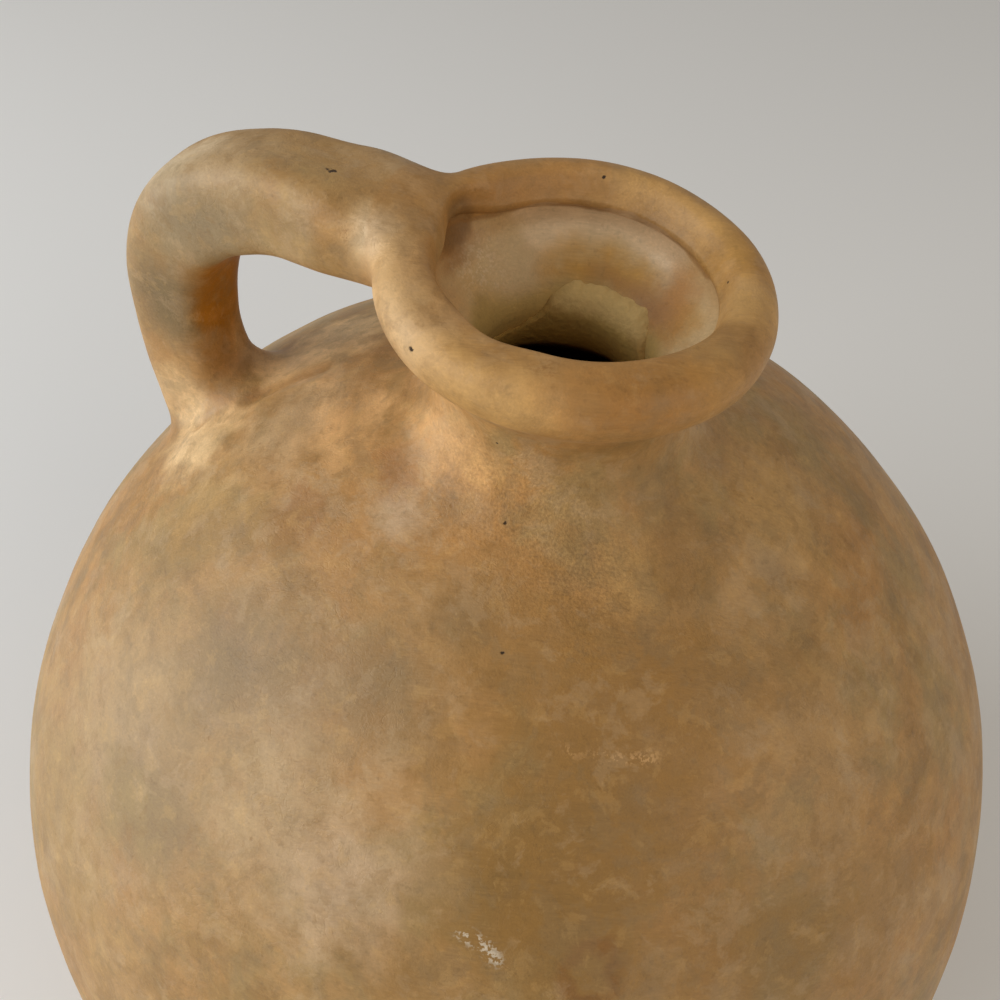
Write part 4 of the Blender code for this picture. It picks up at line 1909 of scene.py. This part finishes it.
@dataclass
class PulledStrap(ClayPiece):
    """The handle: a strap that runs out level from the rim, bends, and drops to the shoulder."""

    path: StrapPath = StrapPath(JugForm(), StrapForm())
    name: str = "pulled_strap"
    stands_for: tuple[str, ...] = ("handle",)
    run_steps: int = 6
    bend_steps: int = 54
    leg_steps: int = 20

    def shape(self) -> bpy.types.Object:
        """Pulls the strap."""
        return Bench.pull(self.name, self.path.rings(self.run_steps, self.bend_steps, self.leg_steps))


@dataclass
class Wad(ClayPiece):
    """A wad of clay worked round one end of the strap, that runs out smoothly on the clay it joins."""

    path: StrapPath = StrapPath(JugForm(), StrapForm())
    slot: Slot = Slot.LUTING
    steps: int = 36
    sunk: float = 0.0006
    grip_step: float = 0.0005
    inner_scale: float = 0.97
    hem: float = 0.004

    def strap_end(self, past: float) -> Ring:
        """The strap's ring that the wad grips, or the ring a little way past it along the strap."""
        raise NotImplementedError

    def footprint(self, scale: float) -> Ring:
        """The wad's outline on the skin below it, at a scale about its middle."""
        raise NotImplementedError

    def hold(self, turn: float) -> Pair:
        """How far the wad keeps the strap's way and the skin's way, at a turn round the strap."""
        raise NotImplementedError

    def core(self, place: Place) -> Place:
        """A place deep in the clay under a point of the outline."""
        raise NotImplementedError

    def shape(self) -> bpy.types.Object:
        """Pulls the wad from the strap's ring down to its outline, and a little way into the clay.

        Returns:
            The wad.
        """
        ring, further = self.strap_end(0.0), self.strap_end(self.grip_step)
        outline, inner = self.footprint(1.0), self.footprint(self.inner_scale)
        spokes = []
        for count, (top, past, foot, nearer) in enumerate(zip(ring, further, outline, inner)):
            start, end = Vector(foot), Vector(top)
            inward = (end - Vector(past)).normalized()
            along = (Vector(nearer) - start).normalized()
            by_strap, by_skin = self.hold(math.tau * count / len(ring))
            span = (end - start).length
            spokes.append((end, end + inward * span * by_strap, start + along * span * by_skin, start))
        rings = [[bezier(spoke, share) for spoke in spokes] for share in hemmed(self.steps, self.hem)]
        deep = [
            Vector(foot) + (Vector(self.core(foot)) - Vector(foot)).normalized() * self.sunk
            for foot in outline
        ]
        middle = sum(deep, Vector()) / len(deep)
        rings.append([tuple(place) for place in deep])
        rings.append([tuple(place.lerp(middle, 0.5)) for place in deep])
        return Bench.pull(self.name, rings)


@dataclass
class RootWad(Wad):
    """The wad at the rim. It spreads sideways along the lip and runs up over its crest."""

    name: str = "root_wad"
    stands_for: tuple[str, ...] = ("handle_rim_lute",)
    half_width: float = 0.0150
    top: float = -0.0027
    bottom: float = 0.0215
    skin_steps: int = 80
    beside: Pair = (0.42, 0.40)
    above: Pair = (0.27, 0.46)
    below: Pair = (0.33, 0.24)

    def strap_end(self, past: float) -> Ring:
        """The strap's first ring."""
        return self.path.run_ring(self.path.strap.root_length + past)

    def hold(self, turn: float) -> Pair:
        """Straighter below the strap than beside it, and a long soft landing above it."""
        upright = math.sin(turn)
        return blend(self.beside, self.above if upright > 0 else self.below, upright**2)

    def core(self, place: Place) -> Place:
        """The middle of the lip's roll nearest to a place.

        Args:
            place: A point of the outline.

        Returns:
            The middle.
        """
        turn = math.atan2(place[1], place[0])
        radius = self.jug.rim_radius
        return (radius * math.cos(turn), radius * math.sin(turn), self.jug.rim_height)

    def skin(self, fullness: float) -> tuple[np.ndarray, np.ndarray]:
        """The lip's and the neck's skin from the bevel down.

        Args:
            fullness: How full the lip's inside is.

        Returns:
            Lengths along the skin from the lip's crest, and its (radius, height) points.
        """
        jug = self.jug
        bevel = jug.lip_inside(self.skin_steps, fullness)[self.skin_steps * 3 // 4 : 0 : -1]
        roll = [jug.roll(turn) for turn in spread(math.pi / 2, jug.seat_turn, self.skin_steps)]
        flare = [bezier(jug.neck_flare, share) for share in spread(1.0, 0.0, self.skin_steps)[1:]]
        places = np.array(bevel + roll + flare)
        steps = np.linalg.norm(np.diff(places, axis=0), axis=1)
        lengths = np.concatenate(([0.0], np.cumsum(steps)))
        return lengths - lengths[len(bevel)], places

    def footprint(self, scale: float) -> Ring:
        """The outline on the lip and the neck.

        Args:
            scale: Its scale about its middle.

        Returns:
            The outline's points.
        """
        middle, half = (self.top + self.bottom) / 2, (self.bottom - self.top) / 2
        ring = []
        for across, upward in self.path.strap.section(self.half_width * scale, half * scale):
            turn = math.pi - across / self.jug.rim_outside
            lengths, places = self.skin(self.jug.lip_fullness(turn))
            radius = float(np.interp(middle - upward, lengths, places[:, 0]))
            height = float(np.interp(middle - upward, lengths, places[:, 1]))
            ring.append((radius * math.cos(turn), radius * math.sin(turn), height))
        return ring


@dataclass
class FootWad(Wad):
    """The wad at the strap's foot: tucked in tight downhill, and smeared up the shoulder behind."""

    name: str = "foot_wad"
    stands_for: tuple[str, ...] = ("handle_foot_lute",)
    flare: float = 0.0075
    downhill: float = 0.0020
    uphill: float = 0.0105
    leg_shares: float = 40.0
    around: Pair = (0.42, 0.48)
    behind: Pair = (0.34, 0.30)

    def strap_end(self, past: float) -> Ring:
        """The strap's last ring."""
        return self.path.leg_ring(1.0 - past * self.leg_shares)

    def hold(self, turn: float) -> Pair:
        """A straighter run uphill than elsewhere."""
        return blend(self.around, self.behind, max(-math.sin(turn), 0.0))

    def core(self, place: Place) -> Place:
        """The middle of the body."""
        return (0.0, 0.0, self.jug.belly_height)

    def footprint(self, scale: float) -> Ring:
        """The outline on the shoulder.

        Args:
            scale: Its scale about its middle.

        Returns:
            The outline's points.
        """
        strap = self.path.strap
        ring = []
        for count in range(strap.sides):
            turn = math.tau * count / strap.sides
            ahead = math.sin(turn)
            flare = mix(self.flare, self.downhill if ahead > 0 else self.uphill, ahead**2)
            across = (strap.leg_width / 2 + flare) * math.cos(turn)
            outward = (strap.leg_depth / 2 + flare) * ahead
            ring.append(self.path.on_shoulder(across * scale, outward * scale, 0.0))
        return ring


@dataclass(frozen=True)
class Lamp:
    """A soft rectangular lamp that is turned towards one point."""

    name: str
    place: Place
    aim: Place
    size: float
    power: float
    tone: Colour

    def hang(self) -> None:
        """Hangs the lamp."""
        heading = (Vector(self.aim) - Vector(self.place)).to_track_quat("-Z", "Y").to_euler()
        bpy.ops.object.light_add(type="AREA", location=self.place, rotation=heading)
        lamp = bpy.context.object
        lamp.name = self.name
        lamp.data.shape = "SQUARE"
        lamp.data.size = self.size
        lamp.data.energy = self.power
        lamp.data.color = self.tone


@dataclass(frozen=True)
class Studio:
    """The pale floor, the soft light and the camera."""

    camera_place: Place = (0.034710, -0.129538, 0.343098)
    camera_turn: Place = (40.6823, -4.2719, 23.3620)
    lens: float = 38.705
    sensor: float = 36.0
    nearest: float = 0.01
    floor_size: float = 6.0
    floor_roughness: float = 0.9
    floor_tone: Colour = (0.86, 0.86, 0.86)
    sky_tone: Colour = (1.0, 0.95, 0.87)
    sky_strength: float = 0.34
    lamps: tuple[Lamp, ...] = (
        Lamp("window", (-0.830, -0.540, 0.530), (0.0, 0.0, 0.17), 1.0, 10.5, (0.95, 0.98, 1.0)),
        Lamp("bounce", (0.95, -0.30, 0.70), (0.0, 0.0, 0.15), 0.9, 3.4, (1.0, 0.90, 0.76)),
    )

    def set_camera(self) -> None:
        """Sets up the camera at the photograph's viewing angle."""
        turn = Euler([math.radians(angle) for angle in self.camera_turn], "XYZ")
        bpy.ops.object.camera_add(location=self.camera_place, rotation=turn)
        camera = bpy.context.object
        camera.name = "camera"
        camera.data.sensor_fit = "HORIZONTAL"
        camera.data.sensor_width = self.sensor
        camera.data.lens = self.lens
        camera.data.clip_start = self.nearest
        bpy.context.scene.camera = camera

    def lay_floor(self) -> None:
        """Lays the floor under the base."""
        bpy.ops.mesh.primitive_plane_add(size=self.floor_size)
        floor = bpy.context.object
        floor.name = "pale_floor"
        board = Board("pale_floor")
        board.feed(board.shader.inputs["Base Color"], self.floor_tone)
        board.feed(board.shader.inputs["Roughness"], self.floor_roughness)
        floor.data.materials.append(board.material)

    def light(self) -> None:
        """Hangs the lamps and lights the sky."""
        for lamp in self.lamps:
            lamp.hang()
        world = bpy.data.worlds.new("soft_sky")
        world.use_nodes = True
        sky = world.node_tree.nodes["Background"]
        sky.inputs["Color"].default_value = (*self.sky_tone, 1.0)
        sky.inputs["Strength"].default_value = self.sky_strength
        bpy.context.scene.world = world
        bpy.context.scene.view_settings.view_transform = "Standard"

    def set_up(self) -> None:
        """Sets up camera, floor and light."""
        self.set_camera()
        self.lay_floor()
        self.light()


def main() -> None:
    """Dresses the jug and sets up the studio."""
    logging.basicConfig(level=logging.INFO, format="%(name)s: %(message)s")
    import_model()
    bpy.ops.object.select_all(action="DESELECT")
    Studio().set_up()
    jug, hand = JugForm(), HandWork()
    path = StrapPath(jug, StrapForm())
    body = BurnishedClay().make()
    smear = SmearClay().make()
    pieces: list[tuple[ClayPiece, bpy.types.Material]] = [
        (ThrownBowl(jug, hand), body),
        (ShoulderDome(jug, hand), body),
        (WaistedNeck(jug, hand), body),
        (RolledLip(jug, hand), body),
        (ThroatSmear(jug, hand), smear),
        (PulledStrap(jug, hand, path=path), body),
        (RootWad(jug, hand, path=path), body),
        (FootWad(jug, hand, path=path), body),
    ]
    for piece, finish in pieces:
        piece.dress(piece.build(), finish)


if __name__ == "__main__":
    main()
